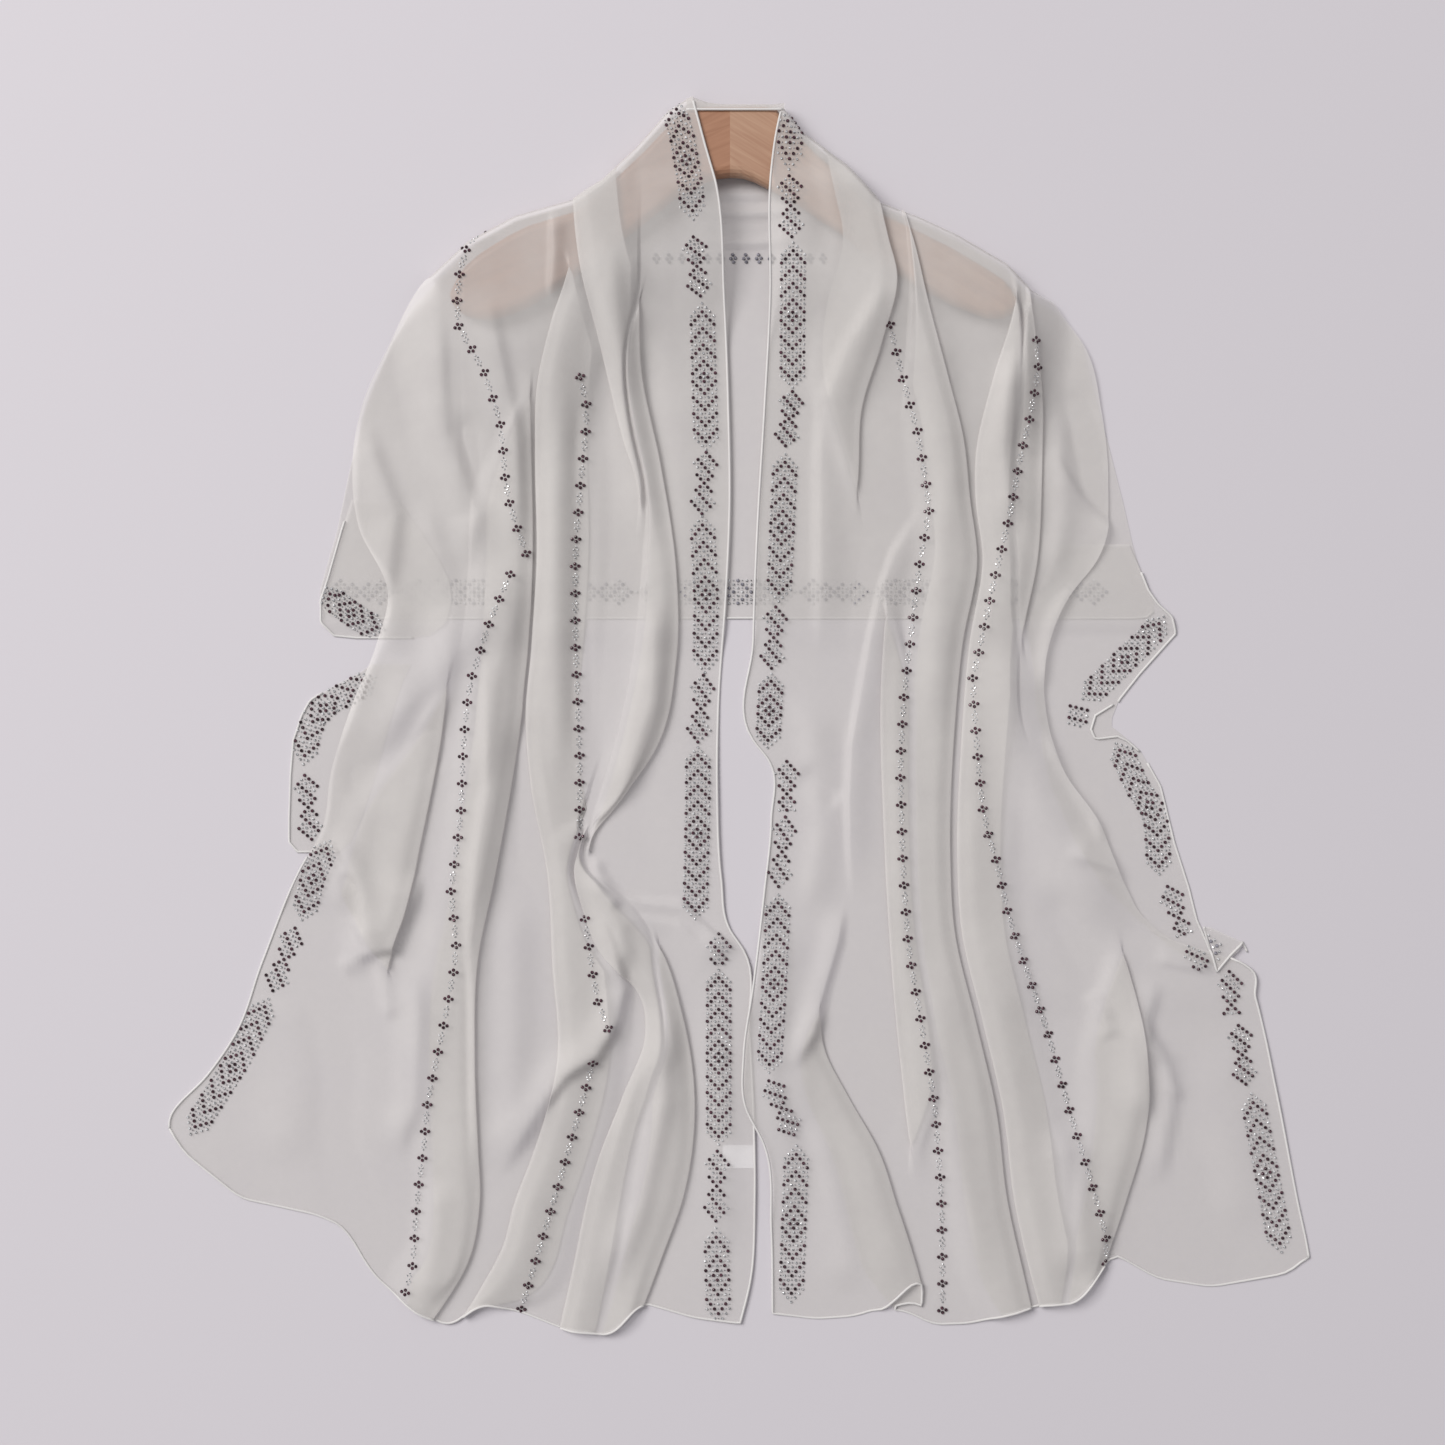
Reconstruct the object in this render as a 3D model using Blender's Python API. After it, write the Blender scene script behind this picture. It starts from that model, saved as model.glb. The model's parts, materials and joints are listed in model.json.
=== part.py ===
# A sheer shawl laid over a flat wooden hanger and spread on a table, seen from above.
# Sizes are in millimetres from the middle of the whole outline: x to the right, y towards the
# neck, z up from the surface that it lies on.
from collections import namedtuple

import bmesh
import bpy
import numpy as np

# Main sizes
MM = 0.001
WALL = 1.2
LAYER_STEP = 2.0
SEAM_GAP = 0.3
BACK_LEVEL = WALL + SEAM_GAP
HANGER_THICK = 15.0
HANGER_EDGE = 6.5
HANGER_JOINT_X = -6.85
CORNER_ANGLES = np.radians((0, 22.5, 45, 67.5, 90))
DRAPE_BELOW_HANGER = 46.0
FOLD_OPEN = 9.0
FOLD_FADE = 42.0
FOLD_CLEAR = 7.0
RAMP = 9.0
CLOSE_FOLDS = 2.2
FRONT_STATIONS = 29
WRAP_SHARES = (0.0, 0.0022, 0.005, 0.009, 0.03, 0.055)
BELOW_WRAP_SHARE = 0.085
LABEL_SIZE = (23.0, 16.6, 0.6)
LABEL_MIDDLE = (-0.6, -317.5)
WRAP = 7.0
BACK_HEM_Y = 70.2
FRONT_OVER_GATHERS = 4.6
FRONT_OVER_FLAPS = 1.8
FRONT_OVER_LABEL = 1.1
RIGHT_OVER_LEFT = 3.2
NECK_GATHERS_Y = (365.0, 339.0)
NECK_GATHER_DEPTH = 9.0
NECK_GATHER_SPACE = 8.0
NECK_GATHER_FADE = 14.0
FLAP_RISE_FROM = 14.0
FLAP_RISE_TO = 3.0
NECK_GATHER_REACH = 25.0
NECK_MIDDLE_X = 4.0

# Each fold edge and border is a line of points (x, y) from the neck down to the hem.
# faces: "in" folds show their edge towards the neck opening, "out" folds away from it
Front = namedtuple("Front", "side inner outer folds shoulder hem")
Fold = namedtuple("Fold", "shows faces tucks line")
Tuck = namedtuple("Tuck", "depth top bottom")
CrossRow = namedtuple("CrossRow", "x top bottom")
HangerRow = namedtuple("HangerRow", "x top bottom thick")
FlapRow = namedtuple("FlapRow", "y left right")
Colour = namedtuple("Colour", "red green blue rough")

LEFT_FRONT = Front(
    side=-1,
    shoulder=((-409, 206), (-316, 256), (-220, 316), (-194, 340), (-161, 358), (-119, 370), (-98, 383),
              (-74, 407), (-51, 433), (-34, 444), (15, 444)),
    hem=((-417, -285), (-401, -313), (-359, -347), (-304, -359), (-284, -368), (-264, -402), (-232, -429),
         (-208, -439), (-185, -422), (-157, -429), (-127, -441), (-92, -444), (-71, -422), (-33, -433),
         (0, -437)),
    inner=((-33, 437), (-25, 407), (-17, 378), (-11, 299), (-8, 220), (-7, 155), (-10, 83), (-15, 11),
           (-16, -54), (-13, -118), (-7, -154), (3, -169), (7, -226), (10, -284), (11, -349), (8, -406),
           (0, -439)),
    outer=((-220, 317), (-236, 296), (-253, 264), (-270, 227), (-278, 177), (-273, 134), (-252, 90),
           (-260, 53), (-278, 8), (-293, -38), (-301, -84), (-316, -111), (-344, -179), (-363, -230),
           (-383, -259), (-409, -288), (-404, -320), (-388, -421)),
    folds=(
        Fold(shows="inner pleat", faces="in", tucks=(Tuck(45, 360, -118), Tuck(29, -151, -493)),
             line=((-69, 407), (-71, 319), (-71, 248), (-57, 179), (-46, 105), (-46, 39), (-60, -23),
                   (-79, -61), (-92, -90), (-82, -118), (-61, -162), (-42, -213), (-33, -268), (-40, -342),
                   (-57, -391), (-75, -439))),
        Fold(shows="shoulder pleat", faces="out", tucks=(Tuck(29, 429, 141), Tuck(24, -151, -493)),
             line=((-117, 429), (-118, 371), (-113, 321), (-100, 269), (-83, 198), (-72, 161), (-72, 83),
                   (-82, 11), (-102, -61), (-92, -133), (-68, -176), (-67, -227), (-83, -272), (-101, -319),
                   (-121, -406), (-129, -442))),
        Fold(shows="middle pleat", faces="out", tucks=(Tuck(36, 326, -493),),
             line=((-132, 371), (-121, 320), (-133, 281), (-144, 234), (-146, 191), (-145, 112), (-149, 47),
                   (-153, 2), (-149, -54), (-138, -111), (-134, -178), (-131, -255), (-147, -313),
                   (-161, -350), (-170, -383), (-187, -414), (-205, -442))),
        Fold(shows="outer pleat", faces="in", tucks=(Tuck(32, 213, -493),),
             line=((-165, 371), (-151, 278), (-150, 191), (-149, 112), (-155, 18), (-165, -54),
                   (-176, -115), (-188, -176), (-190, -248), (-188, -313), (-187, -350), (-195, -392),
                   (-226, -442))),
        Fold(shows="pocket edge", faces="in", tucks=(Tuck(43, 26, -194),),
             line=((-194, 371), (-200, 227), (-207, 47), (-215, -18), (-229, -90), (-241, -144),
                   (-249, -166), (-255, -277), (-288, -421))),
    ),
)

RIGHT_FRONT = Front(
    side=1,
    shoulder=((2, 439), (31, 436), (45, 418), (76, 394), (100, 368), (129, 357), (155, 345), (191, 324),
              (209, 305), (260, 281), (332, 242), (418, 191)),
    hem=((2, -427), (55, -434), (83, -432), (98, -427), (119, -428), (140, -438), (166, -437), (190, -431),
         (215, -424), (243, -421), (260, -399), (268, -386), (301, -405), (340, -411), (395, -401),
         (410, -388)),
    inner=((31, 437), (26, 414), (22, 382), (22, 299), (18, 220), (13, 136), (10, 54), (10, -18), (21, -32),
           (23, -75), (18, -127), (10, -194), (3, -244), (4, -280), (18, -309), (23, -370), (24, -439)),
    outer=((212, 314), (229, 291), (247, 267), (260, 220), (265, 170), (257, 112), (235, 83), (221, 47),
           (221, -3), (232, -39), (257, -75), (285, -126), (324, -154), (360, -176), (373, -211),
           (386, -270), (401, -347), (409, -392), (410, -439)),
    folds=(
        Fold(shows="shoulder pleat", faces="out", tucks=(Tuck(37, 429, 155), Tuck(32, -212, -493)),
             line=((93, 429), (98, 371), (105, 339), (111, 314), (101, 267), (87, 220), (85, 179), (80, 83),
                   (75, -61), (67, -133), (57, -205), (61, -241), (77, -273), (98, -313), (114, -371),
                   (132, -439))),
        Fold(shows="row pleat", faces="in", tucks=(Tuck(22, 69, -305),),
             line=((105, 407), (119, 299), (114, 191), (105, 69), (102, 11), (104, -78), (108, -154),
                   (116, -248), (126, -327), (155, -439))),
        Fold(shows="middle pleat", faces="out", tucks=(Tuck(29, 414, -493),),
             line=((114, 407), (116, 364), (123, 339), (134, 292), (148, 242), (160, 198), (165, 155),
                   (170, 112), (160, 54), (154, -10), (151, -104), (154, -154), (169, -219), (184, -284),
                   (192, -349), (203, -399), (213, -442))),
        Fold(shows="outer pleat", faces="in", tucks=(Tuck(30, 306, -493),),
             line=((177, 407), (196, 293), (181, 240), (170, 188), (170, 155), (175, 112), (166, 54),
                   (160, -18), (157, -104), (160, -154), (175, -219), (190, -284), (198, -349), (209, -399),
                   (221, -442))),
        Fold(shows="shoulder tuck and lower ridge", faces="out",
             tucks=(Tuck(22, 306, 54), Tuck(35, -176, -493)),
             line=((201, 371), (209, 278), (216, 227), (216, 170), (213, 112), (202, 54), (202, -3),
                   (231, -68), (267, -147), (290, -234), (292, -291), (275, -355), (263, -392), (252, -442))),
    ),
)

# Neck line above and hem below, along the back from left to right
BACK_ROWS = (
    CrossRow(x=-302, top=90, bottom=82),
    CrossRow(x=-298, top=108, bottom=75),
    CrossRow(x=-290, top=131, bottom=71),
    CrossRow(x=-281, top=175, bottom=BACK_HEM_Y),
    CrossRow(x=-269, top=222, bottom=BACK_HEM_Y),
    CrossRow(x=-252, top=265, bottom=BACK_HEM_Y),
    CrossRow(x=-236, top=293, bottom=BACK_HEM_Y),
    CrossRow(x=-218, top=311, bottom=BACK_HEM_Y),
    CrossRow(x=-190, top=340, bottom=BACK_HEM_Y),
    CrossRow(x=-161, top=356, bottom=BACK_HEM_Y),
    CrossRow(x=-119, top=368, bottom=BACK_HEM_Y),
    CrossRow(x=-86, top=394, bottom=BACK_HEM_Y),
    CrossRow(x=-51, top=430, bottom=BACK_HEM_Y),
    CrossRow(x=-33, top=442, bottom=BACK_HEM_Y),
    CrossRow(x=-13, top=440, bottom=BACK_HEM_Y),
    CrossRow(x=5, top=440, bottom=BACK_HEM_Y),
    CrossRow(x=23, top=440, bottom=BACK_HEM_Y),
    CrossRow(x=33, top=434, bottom=BACK_HEM_Y),
    CrossRow(x=48, top=416, bottom=BACK_HEM_Y),
    CrossRow(x=76, top=392, bottom=BACK_HEM_Y),
    CrossRow(x=100, top=365, bottom=BACK_HEM_Y),
    CrossRow(x=129, top=355, bottom=BACK_HEM_Y),
    CrossRow(x=155, top=342, bottom=BACK_HEM_Y),
    CrossRow(x=191, top=322, bottom=BACK_HEM_Y),
    CrossRow(x=209, top=302, bottom=BACK_HEM_Y),
    CrossRow(x=229, top=289, bottom=BACK_HEM_Y),
    CrossRow(x=246, top=269, bottom=BACK_HEM_Y),
    CrossRow(x=257, top=226, bottom=BACK_HEM_Y),
    CrossRow(x=265, top=197, bottom=BACK_HEM_Y),
    CrossRow(x=276, top=154, bottom=BACK_HEM_Y),
    CrossRow(x=284, top=118, bottom=BACK_HEM_Y),
    CrossRow(x=293, top=92, bottom=71),
    CrossRow(x=298, top=83, bottom=75),
)

# Sections of the hanger's two halves from tip to tip; they meet at the glued joint
HANGER_LEFT_ROWS = (
    HangerRow(x=-206.5, top=302, bottom=298.5, thick=7),
    HangerRow(x=-205.5, top=305, bottom=295, thick=10),
    HangerRow(x=-202.5, top=311, bottom=290.5, thick=13),
    HangerRow(x=-196, top=321, bottom=286, thick=HANGER_THICK),
    HangerRow(x=-187, top=329, bottom=283.5, thick=HANGER_THICK),
    HangerRow(x=-178, top=335, bottom=283, thick=HANGER_THICK),
    HangerRow(x=-165, top=343, bottom=286.5, thick=HANGER_THICK),
    HangerRow(x=-151, top=350, bottom=292, thick=HANGER_THICK),
    HangerRow(x=-133, top=355.5, bottom=303, thick=HANGER_THICK),
    HangerRow(x=-115, top=361, bottom=316, thick=HANGER_THICK),
    HangerRow(x=-92, top=380.5, bottom=334, thick=HANGER_THICK),
    HangerRow(x=-68, top=403, bottom=352, thick=HANGER_THICK),
    HangerRow(x=-46, top=426.5, bottom=370, thick=HANGER_THICK),
    HangerRow(x=-36, top=433, bottom=375, thick=HANGER_THICK),
    HangerRow(x=-25, top=435, bottom=381, thick=HANGER_THICK),
    HangerRow(x=-16, top=435, bottom=384, thick=HANGER_THICK),
    HangerRow(x=HANGER_JOINT_X - SEAM_GAP / 2, top=435, bottom=385, thick=HANGER_THICK),
)
HANGER_RIGHT_ROWS = (
    HangerRow(x=HANGER_JOINT_X + SEAM_GAP / 2, top=435, bottom=385, thick=HANGER_THICK),
    HangerRow(x=2, top=435, bottom=384.5, thick=HANGER_THICK),
    HangerRow(x=10, top=435, bottom=382, thick=HANGER_THICK),
    HangerRow(x=18, top=435, bottom=378, thick=HANGER_THICK),
    HangerRow(x=26, top=433.5, bottom=374, thick=HANGER_THICK),
    HangerRow(x=40, top=416, bottom=367, thick=HANGER_THICK),
    HangerRow(x=55, top=401, bottom=356, thick=HANGER_THICK),
    HangerRow(x=72, top=386.5, bottom=345, thick=HANGER_THICK),
    HangerRow(x=95, top=361.5, bottom=326.5, thick=HANGER_THICK),
    HangerRow(x=124, top=348, bottom=309, thick=HANGER_THICK),
    HangerRow(x=152, top=334, bottom=293.5, thick=HANGER_THICK),
    HangerRow(x=177, top=319, bottom=284, thick=HANGER_THICK),
    HangerRow(x=188.5, top=311.5, bottom=284, thick=HANGER_THICK),
    HangerRow(x=194, top=305, bottom=287, thick=13),
    HangerRow(x=197, top=300, bottom=291, thick=10),
    HangerRow(x=198, top=297.5, bottom=293.5, thick=7),
)

# The outer border beyond the fronts, a row at each distance down the cloth
LEFT_FLAP_UPPER_ROWS = (
    FlapRow(y=155, left=-279, right=-246),
    FlapRow(y=133, left=-286, right=-230),
    FlapRow(y=112, left=-292, right=-216),
    FlapRow(y=98, left=-296, right=-208),
    FlapRow(y=83, left=-301, right=-207),
    FlapRow(y=67, left=-301, right=-211),
    FlapRow(y=60, left=-290, right=-223),
    FlapRow(y=56, left=-276, right=-234),
)
LEFT_FLAP_MIDDLE_ROWS = (
    FlapRow(y=37, left=-265, right=-236),
    FlapRow(y=31, left=-273, right=-239),
    FlapRow(y=23, left=-289, right=-243),
    FlapRow(y=11, left=-309, right=-247),
    FlapRow(y=0, left=-315, right=-250),
    FlapRow(y=-18, left=-321, right=-255),
    FlapRow(y=-43, left=-323, right=-262),
    FlapRow(y=-74, left=-324, right=-272),
    FlapRow(y=-91, left=-324, right=-280),
    FlapRow(y=-98, left=-318, right=-288),
)
RIGHT_FLAP_UPPER_ROWS = (
    FlapRow(y=123, left=231, right=280),
    FlapRow(y=105, left=221, right=288),
    FlapRow(y=90, left=215, right=294),
    FlapRow(y=80, left=212, right=301),
    FlapRow(y=71, left=209, right=311),
    FlapRow(y=59, left=208, right=314),
    FlapRow(y=49, left=209, right=305),
    FlapRow(y=30, left=212, right=288),
    FlapRow(y=11, left=213, right=273),
    FlapRow(y=-2, left=215, right=268),
    FlapRow(y=-8, left=217, right=268),
)
RIGHT_FLAP_LOWER_ROWS = (
    FlapRow(y=-8.3, left=217, right=268),
    FlapRow(y=-15.5, left=217, right=277),
    FlapRow(y=-26, left=218, right=289),
    FlapRow(y=-51, left=224, right=303),
    FlapRow(y=-92, left=242, right=313),
    FlapRow(y=-123, left=262, right=323),
    FlapRow(y=-147, left=287, right=329),
    FlapRow(y=-165, left=308.5, right=337),
    FlapRow(y=-179, left=329, right=342),
)

COLOURS = {
    "cloth": Colour(0.80, 0.78, 0.76, 0.85),
    "light_wood": Colour(0.66, 0.40, 0.24, 0.45),
    "dark_wood": Colour(0.56, 0.30, 0.17, 0.45),
    "label": Colour(0.85, 0.85, 0.85, 0.7),
}


def smooth(low, high, value):
    part = np.clip((value - low) / (high - low), 0.0, 1.0)
    return part * part * (3.0 - 2.0 * part)


def window(start, full_from, full_to, end, value):
    return smooth(start, full_from, value) * smooth(-end, -full_to, -value)


def along(points, x):
    """Height y of a line that runs across the cloth, at x."""
    return float(np.interp(x, [p[0] for p in points], [p[1] for p in points]))


def line_at(points, y):
    """Where a line that runs down the cloth is at y, as a smooth curve through its points."""
    ys = [p[1] for p in points]
    xs = [p[0] for p in points]
    if y >= ys[0]:
        return float(xs[0])
    if y <= ys[-1]:
        return float(xs[-1])
    slopes = np.gradient(xs, ys)
    k = next(i for i in range(len(ys) - 1) if ys[i + 1] <= y)
    span = ys[k + 1] - ys[k]
    t = (y - ys[k]) / span
    start = (2 * t**3 - 3 * t**2 + 1) * xs[k] + (t**3 - 2 * t**2 + t) * span * slopes[k]
    return float(start + (3 * t**2 - 2 * t**3) * xs[k + 1] + (t**3 - t**2) * span * slopes[k + 1])


def hanger_underside(x):
    """Lower edge of the hanger at x."""
    rows = HANGER_LEFT_ROWS + HANGER_RIGHT_ROWS
    return float(np.interp(x, [row.x for row in rows], [row.bottom for row in rows]))


def hanger_lift(x, y):
    """Height that the hanger gives to cloth over it, with the cloth hanging off its lower edge."""
    below = max(hanger_underside(x) - 18.0 - y, 0.0)
    beyond = max(HANGER_LEFT_ROWS[0].x - 5.0 - x, x - HANGER_RIGHT_ROWS[-1].x - 2.0, 0.0)
    away = float(np.hypot(below, 3.4 * beyond))
    return (HANGER_THICK + 3 * SEAM_GAP) * float(smooth(-DRAPE_BELOW_HANGER, 0.0, -away))


def over_edge(distance):
    """Share of the full height at this distance inside the shoulder line, where cloth wraps the hanger."""
    part = np.clip(distance / WRAP, 0.0, 1.0)
    return float(np.sqrt(1.0 - (1.0 - part) ** 2))


def front_floor(side, x, y, inside):
    """Middle of the lowest layer of a front at (x, y); inside is the distance below the shoulder line."""
    height = WALL / 2 + BACK_LEVEL * smooth(BACK_HEM_Y - 75.0, BACK_HEM_Y - 36.0, y)
    height += hanger_lift(x, y) * over_edge(inside)
    over_gathers = window(-82.0, -62.0, 60.0, 80.0, x) * window(292.0, 318.0, 374.0, 388.0, y)
    height += FRONT_OVER_GATHERS * over_gathers
    if side < 0:
        height += FRONT_OVER_FLAPS * smooth(168.0, 196.0, -x) * window(-150.0, -118.0, 165.0, 205.0, y)
        over_label = window(-75.0, -48.0, 20.0, 30.0, x) * window(-385.0, -345.0, -290.0, -250.0, y)
        height += FRONT_OVER_LABEL * over_label
    else:
        height += FRONT_OVER_FLAPS * smooth(172.0, 198.0, x) * window(-226.0, -194.0, 160.0, 200.0, y)
        height += RIGHT_OVER_LEFT * smooth(-60.0, -30.0, -x) * window(-385.0, -335.0, -175.0, -140.0, y)
    return float(height)


def fold_state(fold, y):
    """Depth and rise of one fold edge at y: a fold that ends opens into a soft step, then goes flat."""
    active = 0.0
    depth = 0.0
    for tuck in fold.tucks:
        here = float(smooth(0.0, FOLD_FADE, tuck.top - y) * smooth(0.0, FOLD_FADE, y - tuck.bottom))
        if here >= active:
            active = here
            depth = tuck.depth
    return -FOLD_OPEN + active * (depth + FOLD_OPEN), 1.0 if active > 0.02 else 0.0


def fit_depths(edges, faces, depths):
    """Shortens tucks that would run into the next fold."""
    fitted = list(depths)
    for k in range(len(edges) - 1):
        space = edges[k + 1] - edges[k] - FOLD_CLEAR
        left = k - 1
        right = k
        from_left = fitted[left] if 0 <= left < len(faces) and faces[left] == "in" else 0.0
        from_right = fitted[right] if right < len(faces) and faces[right] == "out" else 0.0
        need = max(from_left, 0.0) + max(from_right, 0.0)
        if need > max(space, 0.0):
            share = max(space, 0.0) / need
            if from_left > 0.0:
                fitted[left] = from_left * share
            if from_right > 0.0:
                fitted[right] = from_right * share
    for k, faces_to in enumerate(faces):
        room = edges[k + 1] - edges[k] if faces_to == "in" else edges[k + 2] - edges[k + 1]
        fitted[k] = max(fitted[k], -max(room / 2 - 1.2, 0.0))
    return fitted


def section(edges, faces, depths, rises):
    """Path of the cloth across its folds, as (distance, layer) pairs from the first edge to the last."""
    depths = fit_depths(edges, faces, depths)
    bulge = LAYER_STEP / 2
    path = [(edges[0], 0.0)]
    start_at = edges[0]
    start_level = 0.0
    for k in range(len(faces) + 1):
        last = k == len(faces)
        end_at = edges[-1] if last else edges[k + 1]
        opens_out = not last and faces[k] == "out"
        end_level = 2.0 * rises[k] if opens_out else 0.0
        if opens_out:
            end_at -= max(depths[k], 0.0)
        elif not last:
            end_at += min(depths[k], 0.0)
        begin = start_at + 1.0
        finish = end_at - 1.0
        if finish - begin < 1.0:
            middle = (begin + finish) / 2
            begin = middle - 0.5
            finish = middle + 0.5
        if last:
            path.append((begin, start_level))
            path.append((begin + min(RAMP, (finish - begin) / 3), 0.0))
            path.append((begin + 0.52 * (finish - begin), 0.0))
            path.append((finish, 0.0))
            path.append((edges[-1], 0.0))
            break
        ramp = min(RAMP, (finish - begin) / 3)
        both = min(start_level, end_level) if finish - begin < CLOSE_FOLDS * RAMP else 0.0
        path.append((begin, start_level))
        path.append((begin + ramp, both))
        path.append((finish - ramp, both))
        path.append((finish, end_level))
        edge = edges[k + 1]
        depth = depths[k]
        rise = rises[k]
        tuck = max(depth, 0.0)
        if faces[k] == "in":
            points = turn_points(edge, depth, rise, bulge)
            start_at = edge + tuck
            start_level = 2.0 * rise
        else:
            points = [(2.0 * edge - at, level) for at, level in turn_points(edge, depth, rise, bulge)][::-1]
            start_at = edge - min(depth, 0.0)
            start_level = 0.0
        path.extend(points)
    return spread_flat(path)


def spread_flat(path):
    """Spaces points evenly along each flat stretch, so that no two fall together."""
    levels = [level for _, level in path]
    spots = [at for at, _ in path]
    start = 0
    while start < len(path):
        stop = start
        while stop + 1 < len(path) and levels[stop + 1] == levels[start]:
            stop += 1
        if stop - start > 1 and levels[start] in (0.0, 2.0) and min(np.diff(spots[start:stop + 1])) < 0.4:
            spots[start:stop + 1] = list(np.linspace(spots[start], spots[stop], stop - start + 1))
        start = stop + 1
    return list(zip(spots, levels))


def turn_points(edge, depth, rise, bulge):
    """The two turns of one fold whose edge faces back along the path: out under it, back, then over."""
    shut = min(max(depth / (2 * bulge), 0.0), 1.0)
    first = (edge + depth + bulge, 0.5 * rise)
    second = (edge - bulge, 1.5 * rise)
    third = tuple(a + (b - a) / 3 for a, b in zip(first, second))
    fourth = tuple(a + (b - a) * 2 / 3 for a, b in zip(first, second))
    third = (third[0] * (1 - shut) + (edge + depth) * shut, third[1] * (1 - shut) + rise * shut)
    fourth = (fourth[0] * (1 - shut) + edge * shut, fourth[1] * (1 - shut) + rise * shut)
    return [(edge + depth, 0.0), first, third, fourth, second, (edge, 2.0 * rise)]


def thicken(path):
    """Upper and lower side of a wall whose middle follows path, a list of (distance, height)."""
    middle = np.array(path)
    steps = np.diff(middle, axis=0)
    length = np.maximum(np.hypot(steps[:, 0], steps[:, 1]), 1e-6)
    normal = np.stack([-steps[:, 1] / length, steps[:, 0] / length], axis=1)
    before = np.vstack([normal[:1], normal])
    after = np.vstack([normal, normal[-1:]])
    mitre = before + after
    size = np.hypot(mitre[:, 0], mitre[:, 1])
    mitre /= np.maximum(size, 0.7)[:, None] ** 2
    mitre *= 2
    reach = np.hypot(mitre[:, 0], mitre[:, 1])
    mitre *= np.minimum(1.0, 1.35 / np.maximum(reach, 1e-6))[:, None]
    return middle + mitre * WALL / 2, middle - mitre * WALL / 2


def ring_of(path, place):
    """Closed ring of points for one section; place turns (distance, height) into a point."""
    upper, lower = thicken(path)
    return [place(a, b) for a, b in upper] + [place(a, b) for a, b in lower[::-1]]


def loft(name, rings, colour):
    """Closed body through rings of equal count."""
    mesh = bpy.data.meshes.new(name)
    bm = bmesh.new()
    rows = [[bm.verts.new([c * MM for c in point]) for point in ring] for ring in rings]
    count = len(rows[0])
    for near, far in zip(rows, rows[1:]):
        for k in range(count):
            n = (k + 1) % count
            bm.faces.new((near[k], near[n], far[n], far[k]))
    half = count // 2
    for row, order in ((rows[0], 1), (rows[-1], -1)):
        for k in range(half - 1):
            face = (row[k], row[count - 1 - k], row[count - 2 - k], row[k + 1])
            bm.faces.new(face[::order])
    bmesh.ops.recalc_face_normals(bm, faces=bm.faces)
    bm.to_mesh(mesh)
    bm.free()
    obj = bpy.data.objects.new(name, mesh)
    finish(obj, colour)
    return obj


def finish(obj, colour):
    values = COLOURS[colour]
    material = bpy.data.materials.new(obj.name + "_" + colour)
    material.use_nodes = True
    shader = material.node_tree.nodes["Principled BSDF"]
    shader.inputs["Base Color"].default_value = (values.red, values.green, values.blue, 1.0)
    shader.inputs["Roughness"].default_value = values.rough
    obj.data.materials.append(material)
    parts.objects.link(obj)


def front_section(front, share):
    """Section path of a front at this share of the way from the shoulder line to the hem."""

    def y_at(x):
        return along(front.shoulder, x) + share * (along(front.hem, x) - along(front.shoulder, x))

    edges = []
    heights = []
    for line in (front.inner, *(fold.line for fold in front.folds), front.outer):
        y = y_at(line_at(line, 0.0))
        for _ in range(12):
            y = 0.5 * y + 0.5 * y_at(line_at(line, y))
        edges.append(line_at(line, y))
        heights.append(y)
    faces = [fold.faces for fold in front.folds]
    states = [fold_state(fold, y) for fold, y in zip(front.folds, heights[1:-1])]
    across = [front.side * edge for edge in edges]
    for k in range(1, len(across)):
        across[k] = max(across[k], across[k - 1] + 3.6)
    path = section(across, faces, [s[0] for s in states], [s[1] for s in states])
    shaped = []
    for at, level in path:
        x = front.side * at
        y = y_at(x)
        inside = along(front.shoulder, x) - y
        shaped.append((at, front_floor(front.side, x, y, inside) + LAYER_STEP * level))
    return shaped, y_at


def front_panel(name, front):
    """A front, through sections that stand close together where it wraps the hanger's upper edge."""
    shares = [*WRAP_SHARES, *np.linspace(BELOW_WRAP_SHARE, 1.0, FRONT_STATIONS - len(WRAP_SHARES))]
    rings = []
    for share in shares:
        path, y_at = front_section(front, float(share))
        rings.append(ring_of(path, lambda at, up: (front.side * at, y_at(front.side * at), up)))
    return loft(name, rings, "cloth")


def back_panel():
    """The back lies flat on the table, with two cross folds gathered behind the neck."""
    rings = []
    for row in BACK_ROWS:
        edges = [-row.top, *(-y for y in NECK_GATHERS_Y), -row.bottom]
        for k in (1, 2):
            edges[k] = max(edges[k], edges[k - 1] + NECK_GATHER_SPACE)
        edges[3] = max(edges[3], edges[2] + NECK_GATHER_SPACE / 4)
        active = float(smooth(0.0, NECK_GATHER_FADE, NECK_GATHER_REACH - abs(row.x - NECK_MIDDLE_X)))
        if edges[3] > -row.bottom:
            edges = list(np.linspace(-row.top, -row.bottom, 4))
            active = 0.0
        depth = -FOLD_OPEN + active * (NECK_GATHER_DEPTH + FOLD_OPEN)
        rise = 1.0 if active > 0.02 else 0.0
        path = section(edges, ["in", "in"], [depth, depth], [rise, rise])
        shaped = [(at, WALL / 2 + LAYER_STEP * level) for at, level in path]
        rings.append(ring_of(shaped, lambda at, up, x=row.x: (x, -at, up)))
    return loft("back_panel", rings, "cloth")


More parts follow.
